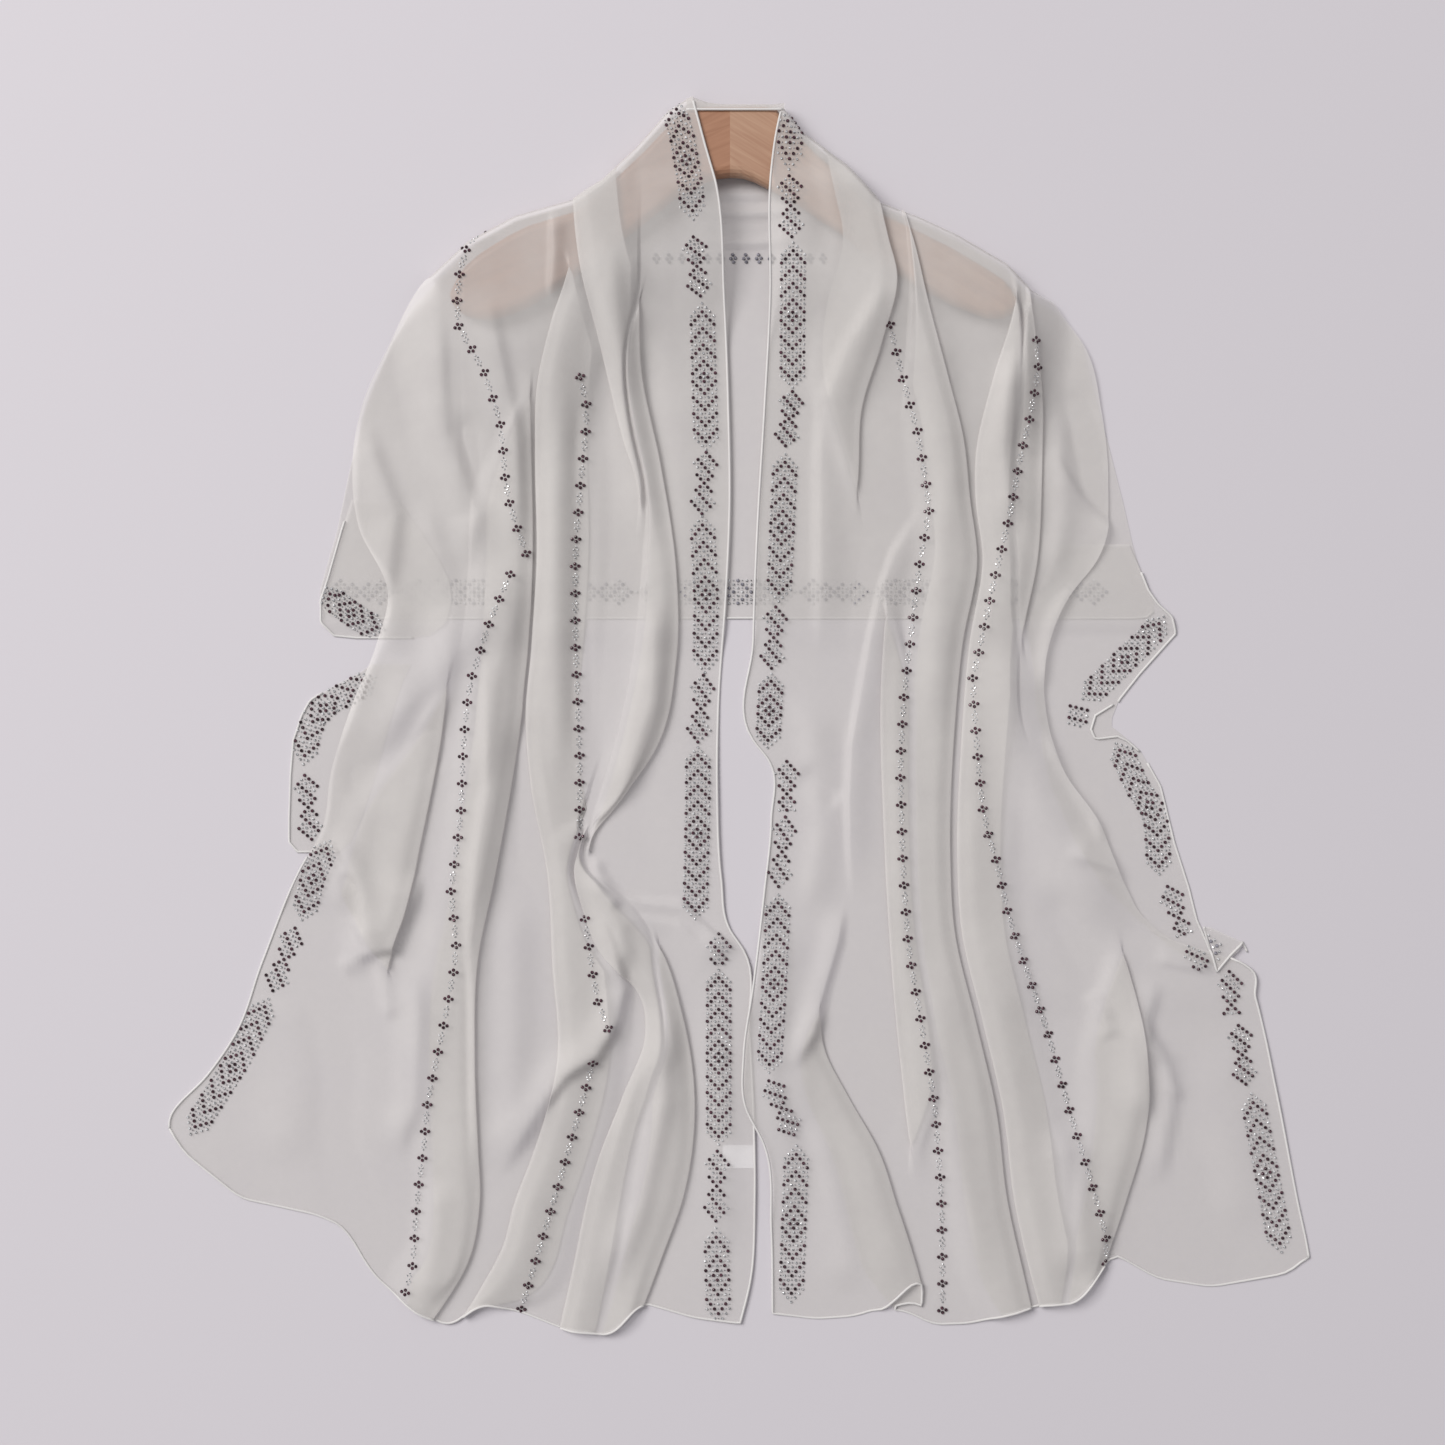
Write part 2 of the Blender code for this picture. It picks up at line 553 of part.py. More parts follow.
def hanger_half(name, rows, colour):
    """One glued half of the hanger, a flat board with well rounded edges and a flat face at the joint."""
    rings = []
    middle = BACK_LEVEL + HANGER_THICK / 2
    for row in rows:
        radius = min(HANGER_EDGE, (row.top - row.bottom) / 2 - 0.4, row.thick / 2 - 0.4)
        side = row.thick / 2 - radius
        round_over = [(radius * float(np.cos(a)), side + radius * float(np.sin(a))) for a in CORNER_ANGLES]
        upper = [(row.top - radius + reach, up) for reach, up in round_over]
        upper += [(row.bottom + radius - reach, up) for reach, up in round_over[::-1]]
        ring = [(row.x, y, middle + up) for y, up in upper]
        ring += [(row.x, y, middle - up) for y, up in upper[::-1]]
        rings.append(ring)
    return loft(name, rings, colour)


def flap(name, rows, over_back):
    """A stretch of the outer border that shows beyond a front, lying under it."""
    rings = []
    for row in rows:
        base = WALL / 2
        if over_back:
            base += BACK_LEVEL * float(smooth(BACK_HEM_Y - FLAP_RISE_FROM, BACK_HEM_Y - FLAP_RISE_TO, row.y))
        width = row.right - row.left
        path = []
        for part in (0.0, 0.25, 0.5, 0.75, 1.0):
            path.append((row.left + width * part, base))
        rings.append(ring_of(path, lambda at, up, y=row.y: (at, y, up)))
    return loft(name, rings, "cloth")


def care_label():
    mesh = bpy.data.meshes.new("care_label")
    bm = bmesh.new()
    bmesh.ops.create_cube(bm, size=1.0)
    bm.to_mesh(mesh)
    bm.free()
    obj = bpy.data.objects.new("care_label", mesh)
    width, height, thick = LABEL_SIZE
    for vertex in obj.data.vertices:
        x, y, z = vertex.co
        vertex.co = (
            (x * width + LABEL_MIDDLE[0]) * MM,
            (y * height + LABEL_MIDDLE[1]) * MM,
            (z + 0.5) * thick * MM,
        )
    finish(obj, "label")
    return obj


for old in list(bpy.data.objects):
    bpy.data.objects.remove(old)
parts = bpy.data.collections.new("rhinestone_shawl")
bpy.context.scene.collection.children.link(parts)

back_panel()
hanger_half("hanger_left", HANGER_LEFT_ROWS, "dark_wood")
hanger_half("hanger_right", HANGER_RIGHT_ROWS, "light_wood")
flap("left_flap_upper", LEFT_FLAP_UPPER_ROWS, True)
flap("left_flap_middle", LEFT_FLAP_MIDDLE_ROWS, False)
flap("right_flap_upper", RIGHT_FLAP_UPPER_ROWS, True)
flap("right_flap_lower", RIGHT_FLAP_LOWER_ROWS, False)
care_label()
front_panel("left_front", LEFT_FRONT)
front_panel("right_front", RIGHT_FRONT)
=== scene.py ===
import json
from math import cos, pi, radians, sin

import bmesh
import bpy
import numpy as np
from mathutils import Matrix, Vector
from mathutils.bvhtree import BVHTree

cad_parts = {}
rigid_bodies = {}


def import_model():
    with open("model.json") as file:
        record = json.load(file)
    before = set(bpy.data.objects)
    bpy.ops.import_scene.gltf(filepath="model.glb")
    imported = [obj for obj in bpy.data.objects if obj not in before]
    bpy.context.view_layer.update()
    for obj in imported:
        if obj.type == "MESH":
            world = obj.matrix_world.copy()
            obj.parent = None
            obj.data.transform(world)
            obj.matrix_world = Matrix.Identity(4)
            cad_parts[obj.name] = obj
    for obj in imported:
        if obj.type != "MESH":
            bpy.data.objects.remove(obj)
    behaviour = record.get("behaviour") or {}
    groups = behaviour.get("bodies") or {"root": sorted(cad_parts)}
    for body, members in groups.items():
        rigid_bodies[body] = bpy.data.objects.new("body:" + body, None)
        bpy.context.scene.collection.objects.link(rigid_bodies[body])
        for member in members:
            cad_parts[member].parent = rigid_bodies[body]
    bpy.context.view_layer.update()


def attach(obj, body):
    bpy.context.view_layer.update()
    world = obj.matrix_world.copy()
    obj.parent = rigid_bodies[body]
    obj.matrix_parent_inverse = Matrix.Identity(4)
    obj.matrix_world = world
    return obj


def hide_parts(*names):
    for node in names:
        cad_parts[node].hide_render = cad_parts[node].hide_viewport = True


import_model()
mm = 0.001
print("frame loaded")

# Lines are (x, y) in millimetres from the middle of the outline, y towards the neck.
leftFront = {
    "side": -1,
    "shoulder": [(-409, 206), (-316, 256), (-220, 316), (-194, 340), (-161, 358), (-119, 370), (-98, 383),
                 (-74, 407), (-51, 433), (-34, 444), (15, 444)],
    "hem": [(-417, -285), (-401, -313), (-359, -347), (-304, -359), (-284, -368), (-264, -402), (-232, -429),
            (-208, -439), (-185, -422), (-157, -429), (-127, -441), (-92, -445), (-71, -422), (-33, -433),
            (0, -437)],
    "inner": [(-33, 437), (-25, 407), (-17, 378), (-11, 299), (-8, 220), (-7, 155), (-10, 83), (-15, 11),
              (-16, -54), (-13, -118), (-7, -154), (3, -169), (7, -226), (10, -284), (11, -349), (8, -406),
              (0, -439)],
    "outer": [(-220, 317), (-236, 296), (-253, 264), (-270, 227), (-278, 177), (-273, 134), (-252, 90),
              (-260, 53), (-278, 8), (-293, -38), (-301, -84), (-316, -111), (-344, -179), (-363, -230),
              (-383, -259), (-409, -288), (-404, -320), (-388, -421)],
    # Lying folds: the way the edge faces, the depth of its tuck and the stretches of y where it lies, with
    # how softly each stretch begins and ends, then the line of the edge
    "folds": [
        {"name": "inner pleat", "faces": "in", "depth": 45, "spans": [(325, -104)], "lowDepth": 29,
         "lowSpans": [(-138, -500)], "fades": (120, 24), "lowFades": (90, 60),
         "line": [(-69, 407), (-71, 319), (-71, 248), (-57, 179), (-46, 105), (-46, 39), (-60, -23),
                  (-86, -61), (-106, -88), (-108, -104), (-74, -140), (-55, -172), (-42, -213), (-33, -268),
                  (-40, -342), (-57, -391), (-75, -439)]},
        {"name": "shoulder pleat", "faces": "out", "depth": 29, "spans": [(460, 110)], "lowDepth": 24,
         "lowSpans": [(-70, -500)], "fades": (40, 150), "lowFades": (50, 60),
         "line": [(-117, 429), (-118, 371), (-113, 321), (-100, 269), (-83, 198), (-72, 161), (-72, 83),
                  (-82, 11), (-102, -61), (-115, -95), (-118, -110), (-112, -139), (-98, -172), (-74, -196),
                  (-67, -227), (-83, -272), (-101, -319), (-121, -406), (-129, -442)]},
        {"name": "middle pleat", "faces": "out", "depth": 36, "spans": [(350, -500)],
         "line": [(-132, 371), (-121, 320), (-133, 281), (-144, 234), (-146, 191), (-145, 112), (-149, 47),
                  (-153, 2), (-149, -54), (-138, -111), (-134, -178), (-131, -255), (-147, -313),
                  (-161, -350), (-170, -383), (-187, -414), (-205, -442)]},
        {"name": "outer pleat", "faces": "in", "depth": 32, "spans": [(260, -500)],
         "line": [(-165, 371), (-151, 278), (-150, 191), (-149, 112), (-155, 18), (-165, -54), (-176, -115),
                  (-188, -176), (-190, -248), (-188, -313), (-187, -350), (-195, -392), (-226, -442)]},
        {"name": "pocket edge", "faces": "in", "depth": 43, "spans": [(60, -196)], "fades": (150, 50),
         "line": [(-194, 371), (-200, 227), (-207, 47), (-215, -18), (-229, -90), (-241, -144),
                  (-249, -166), (-255, -277), (-288, -421)]},
    ],
    # Soft ridges and troughs: height, widths on the left and on the right going down, then the line
    "creases": [
        (4.5, (13, 9), [(-94, 350), (-84, 240), (-62, 110)]),
        (5.5, (14, 9), [(-60, 90), (-64, 10), (-92, -70)]),
        (3.5, (9, 10), [(-125, 260), (-131, 150), (-131, 40), (-128, -60)]),
        (-2.5, (8, 8), [(-112, 240), (-112, 120), (-116, -40)]),
        (4.0, (12, 6), [(-180, 300), (-160, 200), (-157, 120)]),
        (3.5, (12, 9), [(-158, 90), (-178, 20), (-186, -60)]),
        (-3.0, (10, 10), [(-196, 220), (-190, 130)]),
        (3.5, (14, 10), [(-230, 160), (-206, 80), (-214, 10)]),
        (3.0, (12, 14), [(-250, 80), (-240, 10), (-262, -60)]),
        (4.5, (12, 8), [(-235, -172), (-232, -216), (-235, -281), (-250, -320)]),
        (5.0, (14, 14), [(-163, -120), (-162, -200), (-165, -290), (-176, -330)]),
        (7.0, (13, 4), [(-102, -136), (-92, -164), (-83, -196), (-88, -219), (-103, -244), (-125, -257),
                        (-141, -279), (-157, -305), (-176, -334)]),
        (6.5, (12, 10), [(-54, -200), (-56, -277), (-72, -349), (-97, -420)]),
        (4.5, (20, 2.2), [(-96, -127), (-71, -134), (-42, -136), (-18, -158), (3, -170)]),
        (-2.5, (3, 10), [(-92, -136), (-71, -142), (-42, -146), (-18, -168)]),
        (3.5, (5, 5), [(-103, -99), (-102, -113), (-93, -127), (-85, -139)]),
        (3.5, (5, 7), [(-110, -112), (-98, -132), (-86, -152), (-80, -186)]),
        (4.0, (5, 10), [(-299, -82), (-283, -98), (-272, -121), (-267, -153), (-280, -173)]),
        (3.0, (5, 6), [(-264, -165), (-275, -178), (-290, -182)]),
        (2.5, (5, 8), [(-258, -170), (-251, -221)]),
        (2.0, (14, 10), [(-20, -200), (-8, -300), (-14, -400)]),
        (2.5, (24, 18), [(-330, -190), (-320, -260), (-330, -330)]),
        (-2.0, (14, 14), [(-285, -220), (-290, -300), (-275, -370)]),
        (3.5, (10, 12), [(-215, -330), (-220, -380), (-226, -425)]),
        (2.0, (12, 14), [(-60, 300), (-44, 200), (-38, 90)]),
        (4.5, (3, 16), [(-181, 60), (-181, 31), (-181, -49), (-190, -106), (-193, -151), (-191, -205),
                        (-190, -305), (-191, -345)]),
        (6.0, (22, 16), [(-150, 110), (-190, 60), (-236, 12), (-280, -30)]),
        (3.0, (3, 14), [(-249, 104), (-250, 72), (-260, 45), (-274, 11), (-290, -30)]),
        (5.0, (18, 3), [(-230, -110), (-234, -130), (-248, -167), (-260, -169), (-290, -179)]),
        (-2.5, (9, 12), [(-155, -1), (-150, -60), (-148, -120)]),
        (-3.0, (5, 5), [(-284, -112), (-277, -128), (-279, -150)]),
        (-3.0, (12, 14), [(-205, -12), (-245, -30), (-285, -58)]),
        (5.0, (14, 7), [(-270, 215), (-267, 197), (-247, 144), (-254, 90), (-256, 70)]),
        (5.0, (14, 8), [(-216, 290), (-214, 263), (-211, 203), (-190, 144), (-198, 100)]),
        (5.0, (2.5, 8), [(-133, 364), (-132, 330), (-134, 296)]),
    ],
    # Extra room over what the cloth bridges: height, window in x, window in y
    "lifts": [(1.8, (-901, -900, -196, -168), (-150, -118, 165, 205)),
              (1.1, (-75, -48, 20, 30), (-385, -345, -290, -250))],
}
rightFront = {
    "side": 1,
    "shoulder": [(2, 439), (31, 436), (45, 418), (76, 394), (100, 368), (129, 357), (155, 345), (191, 324),
                 (209, 305), (260, 281), (332, 242), (418, 191)],
    "hem": [(2, -427), (55, -434), (83, -432), (98, -427), (119, -428), (140, -438), (166, -437), (190, -431),
            (215, -424), (243, -421), (260, -399), (268, -386), (301, -405), (340, -411), (395, -401),
            (410, -388)],
    "inner": [(31, 437), (26, 414), (22, 382), (22, 299), (18, 220), (13, 136), (10, 54), (10, -18), (21, -32),
              (23, -75), (18, -127), (10, -194), (3, -244), (4, -280), (18, -309), (23, -370), (24, -439)],
    "outer": [(212, 314), (229, 291), (247, 267), (260, 220), (265, 170), (257, 112), (235, 83), (221, 47),
              (221, -3), (232, -39), (257, -75), (277, -122), (296, -150), (318, -164), (345, -171),
              (363, -179), (371, -203), (386, -270), (401, -347), (410, -392), (412, -439)],
    "folds": [
        {"name": "shoulder pleat", "faces": "out", "depth": 37, "spans": [(460, 120)], "lowDepth": 32,
         "lowSpans": [(-180, -500)], "fades": (40, 150), "hemLift": (25, 18),
         "line": [(93, 429), (98, 371), (105, 339), (111, 314), (101, 267), (87, 220), (85, 179), (80, 83),
                  (75, -61), (67, -133), (57, -205), (61, -241), (77, -273), (98, -313), (114, -371),
                  (132, -439)]},
        {"name": "row pleat", "faces": "in", "depth": 22, "spans": [(110, -350)],
         "line": [(105, 407), (119, 299), (114, 191), (105, 69), (102, 11), (104, -78), (108, -154),
                  (116, -248), (126, -327), (155, -439)]},
        {"name": "middle pleat", "faces": "out", "depth": 29, "spans": [(460, -500)],
         "line": [(114, 407), (116, 364), (123, 339), (134, 292), (148, 242), (160, 198), (165, 155),
                  (170, 112), (160, 54), (154, -10), (151, -104), (154, -154), (169, -219), (184, -284),
                  (192, -349), (203, -399), (213, -442)]},
        {"name": "outer pleat", "faces": "in", "depth": 30, "spans": [(330, -500)],
         "line": [(177, 407), (196, 293), (181, 240), (170, 188), (170, 155), (175, 112), (166, 54),
                  (160, -18), (157, -104), (160, -154), (175, -219), (190, -284), (198, -349), (209, -399),
                  (221, -442)]},
        {"name": "shoulder tuck", "faces": "out", "depth": 22, "spans": [(330, 20)], "lowDepth": 35,
         "lowSpans": [(-140, -500)],
         "line": [(201, 371), (209, 278), (216, 227), (216, 170), (213, 112), (202, 54), (202, -3),
                  (231, -68), (267, -147), (290, -234), (292, -291), (275, -355), (263, -392), (252, -442)]},
    ],
    "creases": [
        (5.0, (4, 16), [(100, 330), (100, 300), (77, 263), (61, 224), (58, 184), (58, 126), (58, 40)]),
        (4.5, (3, 14), [(133, 165), (131, 147), (111, 116), (101, 87), (94, 54), (87, 13), (81, -20),
                        (79, -60), (80, -95), (82, -125), (84, -140)]),
        (4.0, (13, 4), [(228, 195), (229, 178), (243, 157), (271, 129), (272, 113), (266, 75)]),
        (4.0, (12, 4), [(280, -205), (301, -240), (312, -272), (300, -345)]),
        (3.5, (10, 12), [(130, 250), (148, 170), (142, 80), (134, -30)]),
        (5.0, (8, 10), [(192, 262), (188, 190), (194, 130)]),
        (-3.0, (12, 12), [(238, 240), (250, 180), (262, 128)]),
        (3.0, (9, 9), [(228, 230), (232, 140), (222, 90)]),
        (4.0, (6, 12), [(247, 96), (232, 80), (224, 62), (220, 40), (221, 15)]),
        (7.0, (18, 22), [(190, 70), (196, 10), (214, -60), (246, -118), (282, -160)]),
        (-2.5, (14, 10), [(222, -120), (236, -150), (262, -190), (270, -214)]),
        (4.0, (5, 12), [(218, -8), (227, -28), (243, -51), (256, -72), (264, -95)]),
        (4.0, (5, 12), [(232, -96), (268, -108), (296, -124)]),
        (4.5, (10, 4), [(75, -133), (70, -163), (61, -193), (53, -228), (41, -246), (27, -252)]),
        (2.0, (2.5, 14), [(296, -176), (343, -184)]),
        (-3.0, (9, 8), [(44, -38), (74, -62)]),
        (4.5, (14, 13), [(137, -170), (144, -248), (158, -335), (180, -414)]),
        (5.5, (14, 12), [(231, -290), (242, -349), (245, -407)]),
        (4.5, (12, 4), [(302, -187), (293, -214), (291, -230), (293, -296)]),
        (3.0, (5, 6), [(259, -194), (255, -204), (268, -234)]),
        (2.5, (5, 8), [(290, -234), (307, -248), (312, -279)]),
        (2.0, (20, 20), [(340, -230), (352, -300), (360, -380)]),
        (3.0, (14, 10), [(52, -290), (66, -350), (80, -420)]),
        (3.5, (10, 14), [(36, 20), (52, -10), (60, -80), (50, -150)]),
        (1.5, (9, 9), [(30, -190), (24, -280), (45, -320)]),
    ],
    "lifts": [(1.8, (172, 198, 900, 901), (-226, -194, 160, 200)),
              (3.2, (-901, -900, 30, 60), (-385, -335, -175, -140))],
}
# Short hems that show on top of the cloth, where a border corner is turned over
turnedHems = {
    "right_turned_pocket": [(269, 8), (256, 0), (253, -10), (256, -17), (272, -15), (279, -18), (289, -27)],
    "right_turned_corner": [(334, -152), (338, -166), (343, -184), (353, -172), (362, -163), (366, -171)],
}
# Lengths in millimetres, counts and shares of all the chiffon
cloth = {
    "wall": 1.2,
    "layerStep": 1.5,
    "seamGap": 0.3,
    "floorGap": 0.3,
    "backHemY": 70.2,
    "backFade": (30.0, 4.0),
    "wrap": 7.0,
    "hangerThick": 15.0,
    "drape": 125.0,
    "barEdge": 6.0,
    "tipEdges": (5.0, 2.0),
    "tipFall": 3.0,
    "neckLift": (3.6, (-108, -50, 50, 104), (268, 325, 374, 392)),
    "foldOpen": 9.0,
    "foldFade": 110.0,
    "foldClear": 7.0,
    "riseShare": 0.3,
    "leastHalf": 0.6,
    "leastRun": 3.6,
    "ramp": 18.0,
    "rampShare": 0.4,
    "leastRamp": 0.5,
    "rollHeight": 3.0,
    "rollPeak": 11.0,
    "rollWidth": 34.0,
    "creaseEnds": 0.22,
    "deepestTrough": 0.8,
    "waves": [(0.5, 23.0, 0.9, 61.0, 47.0, 1.3, 83.0), (1.1, 33.0, 1.7, 97.0, 90.0, 1.1, 57.0)],
    "rows": 280,
    "topRows": 15,
    "topShare": 0.03,
    "searchSteps": 14,
    "runColumns": 30,
    "turnColumns": 5,
}
# The hanger's two arms: (x, upper edge, lower edge)
hanger = {
    "left": [(-206.3, 304.2, 297.0), (-202.7, 310.7, 290.5), (-196.2, 320.8, 286.2), (-178.2, 335.2, 283.3),
             (-150.8, 350.3, 292.0), (-114.8, 361.1, 316.4), (-91.8, 380.5, 333.7), (-68.0, 402.8, 352.4),
             (-45.7, 426.6, 369.7), (-28.4, 435.2, 378.4), (-7.1, 435.2, 384.8)],
    "right": [(-6.6, 435.2, 384.8), (7.6, 434.5, 382.7), (26.3, 433.8, 376.9), (40.0, 415.8, 369.7),
              (72.4, 386.3, 345.2), (95.4, 361.1, 326.5), (124.2, 348.1, 309.2), (151.6, 333.7, 293.4),
              (176.8, 319.3, 284.0), (188.3, 311.4, 283.3), (194.0, 304.9, 287.6), (196.9, 299.2, 292.7)],
}


def smooth(low, high, value):
    part = np.clip((value - low) / (high - low), 0.0, 1.0)
    return part * part * (3.0 - 2.0 * part)


def window(start, fullFrom, fullTo, end, value):
    return smooth(start, fullFrom, value) * smooth(-end, -fullTo, -value)


def denseLine(points, steps=10):
    # A smooth line through points ordered by falling y, sampled finely
    xs = np.array([p[0] for p in points], float)
    ys = np.array([p[1] for p in points], float)
    slopes = np.gradient(xs, ys)
    outX, outY = [xs[0]], [ys[0]]
    for k in range(len(points) - 1):
        span = ys[k + 1] - ys[k]
        t = np.linspace(0, 1, steps + 1)[1:]
        h0 = 2 * t**3 - 3 * t**2 + 1
        h1 = t**3 - 2 * t**2 + t
        h2 = -2 * t**3 + 3 * t**2
        h3 = t**3 - t**2
        outX.extend(h0 * xs[k] + h1 * span * slopes[k] + h2 * xs[k + 1] + h3 * span * slopes[k + 1])
        outY.extend(ys[k] + span * t)
    return np.array(outX), np.array(outY)


def lineX(line, y):
    return float(np.interp(-y, -line[1], line[0]))


def acrossLine(points, x):
    xs = [p[0] for p in points]
    ys = [p[1] for p in points]
    return np.interp(x, xs, ys)


def softLine(points, reach=7.0):
    # The same line with its corners rounded over the reach
    x = np.arange(points[0][0], points[-1][0] + 1.0, 1.0)
    y = acrossLine(points, x)
    shifts = np.linspace(-reach, reach, 15)
    return list(zip(x, np.mean([np.interp(x + s, x, y) for s in shifts], axis=0)))


def backStep(y):
    # The back lies under the fronts above its hem
    low, high = cloth["backFade"]
    return (cloth["wall"] + cloth["seamGap"]) * smooth(cloth["backHemY"] - low, cloth["backHemY"] - high, y)


def hangerLift(x, y):
    rows = hanger["left"] + hanger["right"]
    bottom = np.interp(x, [r[0] for r in rows], [r[2] for r in rows])
    below = np.maximum(bottom - cloth["barEdge"] - y, 0.0)
    leftEdge, rightEdge = cloth["tipEdges"]
    beyond = np.maximum(np.maximum(rows[0][0] - leftEdge - x, x - rows[-1][0] - rightEdge), 0.0)
    away = np.hypot(below, cloth["tipFall"] * beyond)
    return (cloth["hangerThick"] + 3 * cloth["seamGap"]) * smooth(-cloth["drape"], 0.0, -away)


def frontFloor(lifts, x, y, inside):
    # Height of the lowest layer of a front over what lies under it
    part = np.clip(inside / cloth["wrap"], 0.0, 1.0)
    height = cloth["wall"] / 2 + backStep(y)
    height = height + hangerLift(x, y) * np.sqrt(1.0 - (1.0 - part) ** 2)
    for rise, acrossX, alongY in [cloth["neckLift"], *lifts]:
        height += rise * window(*acrossX, x) * window(*alongY, y)
    return height


def creaseHeight(creases, x, y):
    # Sum of soft ridges: each follows its line, with its own width on each side, and fades at both ends
    total = np.zeros_like(x)
    fade = cloth["creaseEnds"]
    for rise, (left, right), line in creases:
        points = np.array(line, float)
        lengths = np.hypot(*np.diff(points, axis=0).T)
        whole = lengths.sum()
        best = np.full(x.shape, 1e9)
        signed = np.zeros_like(x)
        where = np.zeros_like(x)
        begun = 0.0
        for (ax, ay), (bx, by), length in zip(points, points[1:], lengths):
            dx, dy = (bx - ax) / length, (by - ay) / length
            alongLine = (x - ax) * dx + (y - ay) * dy
            t = np.clip(alongLine, 0.0, length)
            gap = np.hypot(x - ax - t * dx, y - ay - t * dy)
            cross = dx * (y - ay) - dy * (x - ax)
            near = gap < best
            best = np.where(near, gap, best)
            signed = np.where(near, cross, signed)
            where = np.where(near, (begun + t) / whole, where)
            begun += length
        width = np.where(signed < 0, left, right)  # going down, the cross product is negative on the left
        ends = smooth(0.0, fade, where) * smooth(0.0, fade, 1.0 - where)
        total += rise * np.exp(-((best / width) ** 2)) * ends
    return total


def foldState(fold, y):
    # Depth of a fold at a height, how far its layers have risen, and how far it is active
    active = 0.0
    depth = 0.0
    usual = (cloth["foldFade"], cloth["foldFade"])
    stretches = [(fold["spans"], fold["depth"], fold.get("fades", usual)),
                 (fold.get("lowSpans", []), fold.get("lowDepth", 0), fold.get("lowFades", usual))]
    for spans, size, fades in stretches:
        for top, bottom in spans:
            here = float(smooth(0.0, fades[0], top - y) * smooth(0.0, fades[1], y - bottom))
            if here >= active:
                active, depth = here, size
    rise = float(smooth(0.0, cloth["riseShare"], active))
    return -cloth["foldOpen"] + active * (depth + cloth["foldOpen"]), rise, active


def fitDepths(edges, faces, depths):
    # Shortens tucks that would run into the next fold
    fitted = list(depths)
    for k in range(len(edges) - 1):
        space = max(edges[k + 1] - edges[k] - cloth["foldClear"], 0.0)
        fromLeft = max(fitted[k - 1], 0.0) if k > 0 and faces[k - 1] == "in" else 0.0
        fromRight = max(fitted[k], 0.0) if k < len(faces) and faces[k] == "out" else 0.0
        need = fromLeft + fromRight
        if need > space:
            if fromLeft > 0.0:
                fitted[k - 1] = fromLeft * space / need
            if fromRight > 0.0:
                fitted[k] = fromRight * space / need
    for k, face in enumerate(faces):
        room = edges[k + 1] - edges[k] if face == "in" else edges[k + 2] - edges[k + 1]
        fitted[k] = max(fitted[k], -max(room / 2 - cloth["leastHalf"], 0.0))
    return fitted


def turnPoints(edge, depth, rise):
    # Out under the edge, back, then over it: a lying S, which opens into a soft step as depth falls below 0
    bulge = 0.5 * cloth["layerStep"]
    angles = np.linspace(-pi / 2, pi / 2, cloth["turnColumns"])
    first = [(edge + depth + bulge * cos(a), 0.5 + 0.5 * sin(a)) for a in angles]
    second = [(edge - bulge * cos(a), 1.5 + 0.5 * sin(a)) for a in angles]
    middle = [(edge + depth * (1 - t), 1.0) for t in (0.25, 0.5, 0.75)]
    lying = np.array(first + middle + second)
    t = np.linspace(0, 1, len(lying))
    step = np.stack([edge + depth * (1 - t), 2 * smooth(0, 1, t)], axis=1)
    share = float(smooth(-1.0, 3.0, depth))
    mixed = lying * share + step * (1 - share)
    mixed[:, 1] *= rise
    return mixed


def section(edges, faces, depths, rises):
    # Path of the cloth across its folds as distance and layer, with the same count of points for any state
    depths = fitDepths(edges, faces, depths)
    beyondAll = edges[-1] + 50.0
    pieces = []
    startAt, fallFrom, startLevel = edges[0], edges[0], 0.0
    for k in range(len(faces) + 1):
        last = k == len(faces)
        endAt, riseTo, endLevel = edges[k + 1], beyondAll, 0.0
        if not last and faces[k] == "out":
            riseTo, endLevel = edges[k + 1] - max(depths[k], 0.0), 2.0 * rises[k]
        elif not last:
            endAt = edges[k + 1] + depths[k]
        if k == 0:
            at = np.linspace(startAt, endAt, cloth["runColumns"] + 1)[:-1]
        elif last:
            at = np.linspace(startAt, endAt, cloth["runColumns"] + 1)[1:]
        else:
            at = np.linspace(startAt, endAt, cloth["runColumns"] + 2)[1:-1]
        reach = max(min(cloth["ramp"], cloth["rampShare"] * (endAt - startAt)), cloth["leastRamp"])
        falling = startLevel * (1.0 - smooth(fallFrom, fallFrom + reach, at))
        rising = endLevel * smooth(riseTo - reach, riseTo, at)
        pieces.append(np.stack([at, np.maximum(falling, rising)], axis=1))
        if last:
            break
        edge, depth, rise = edges[k + 1], depths[k], rises[k]
        if faces[k] == "in":
            turn = turnPoints(edge, depth, rise)
            startAt, fallFrom, startLevel = edge, edge + max(depth, 0.0), 2.0 * rise
        else:
            turn = turnPoints(0.0, depth, rise)
            turn[:, 0] = edge - turn[:, 0]
            turn = turn[::-1]
            startAt, fallFrom, startLevel = edge - depth, edge - depth, 0.0
        pieces.append(turn)
    return np.concatenate(pieces)


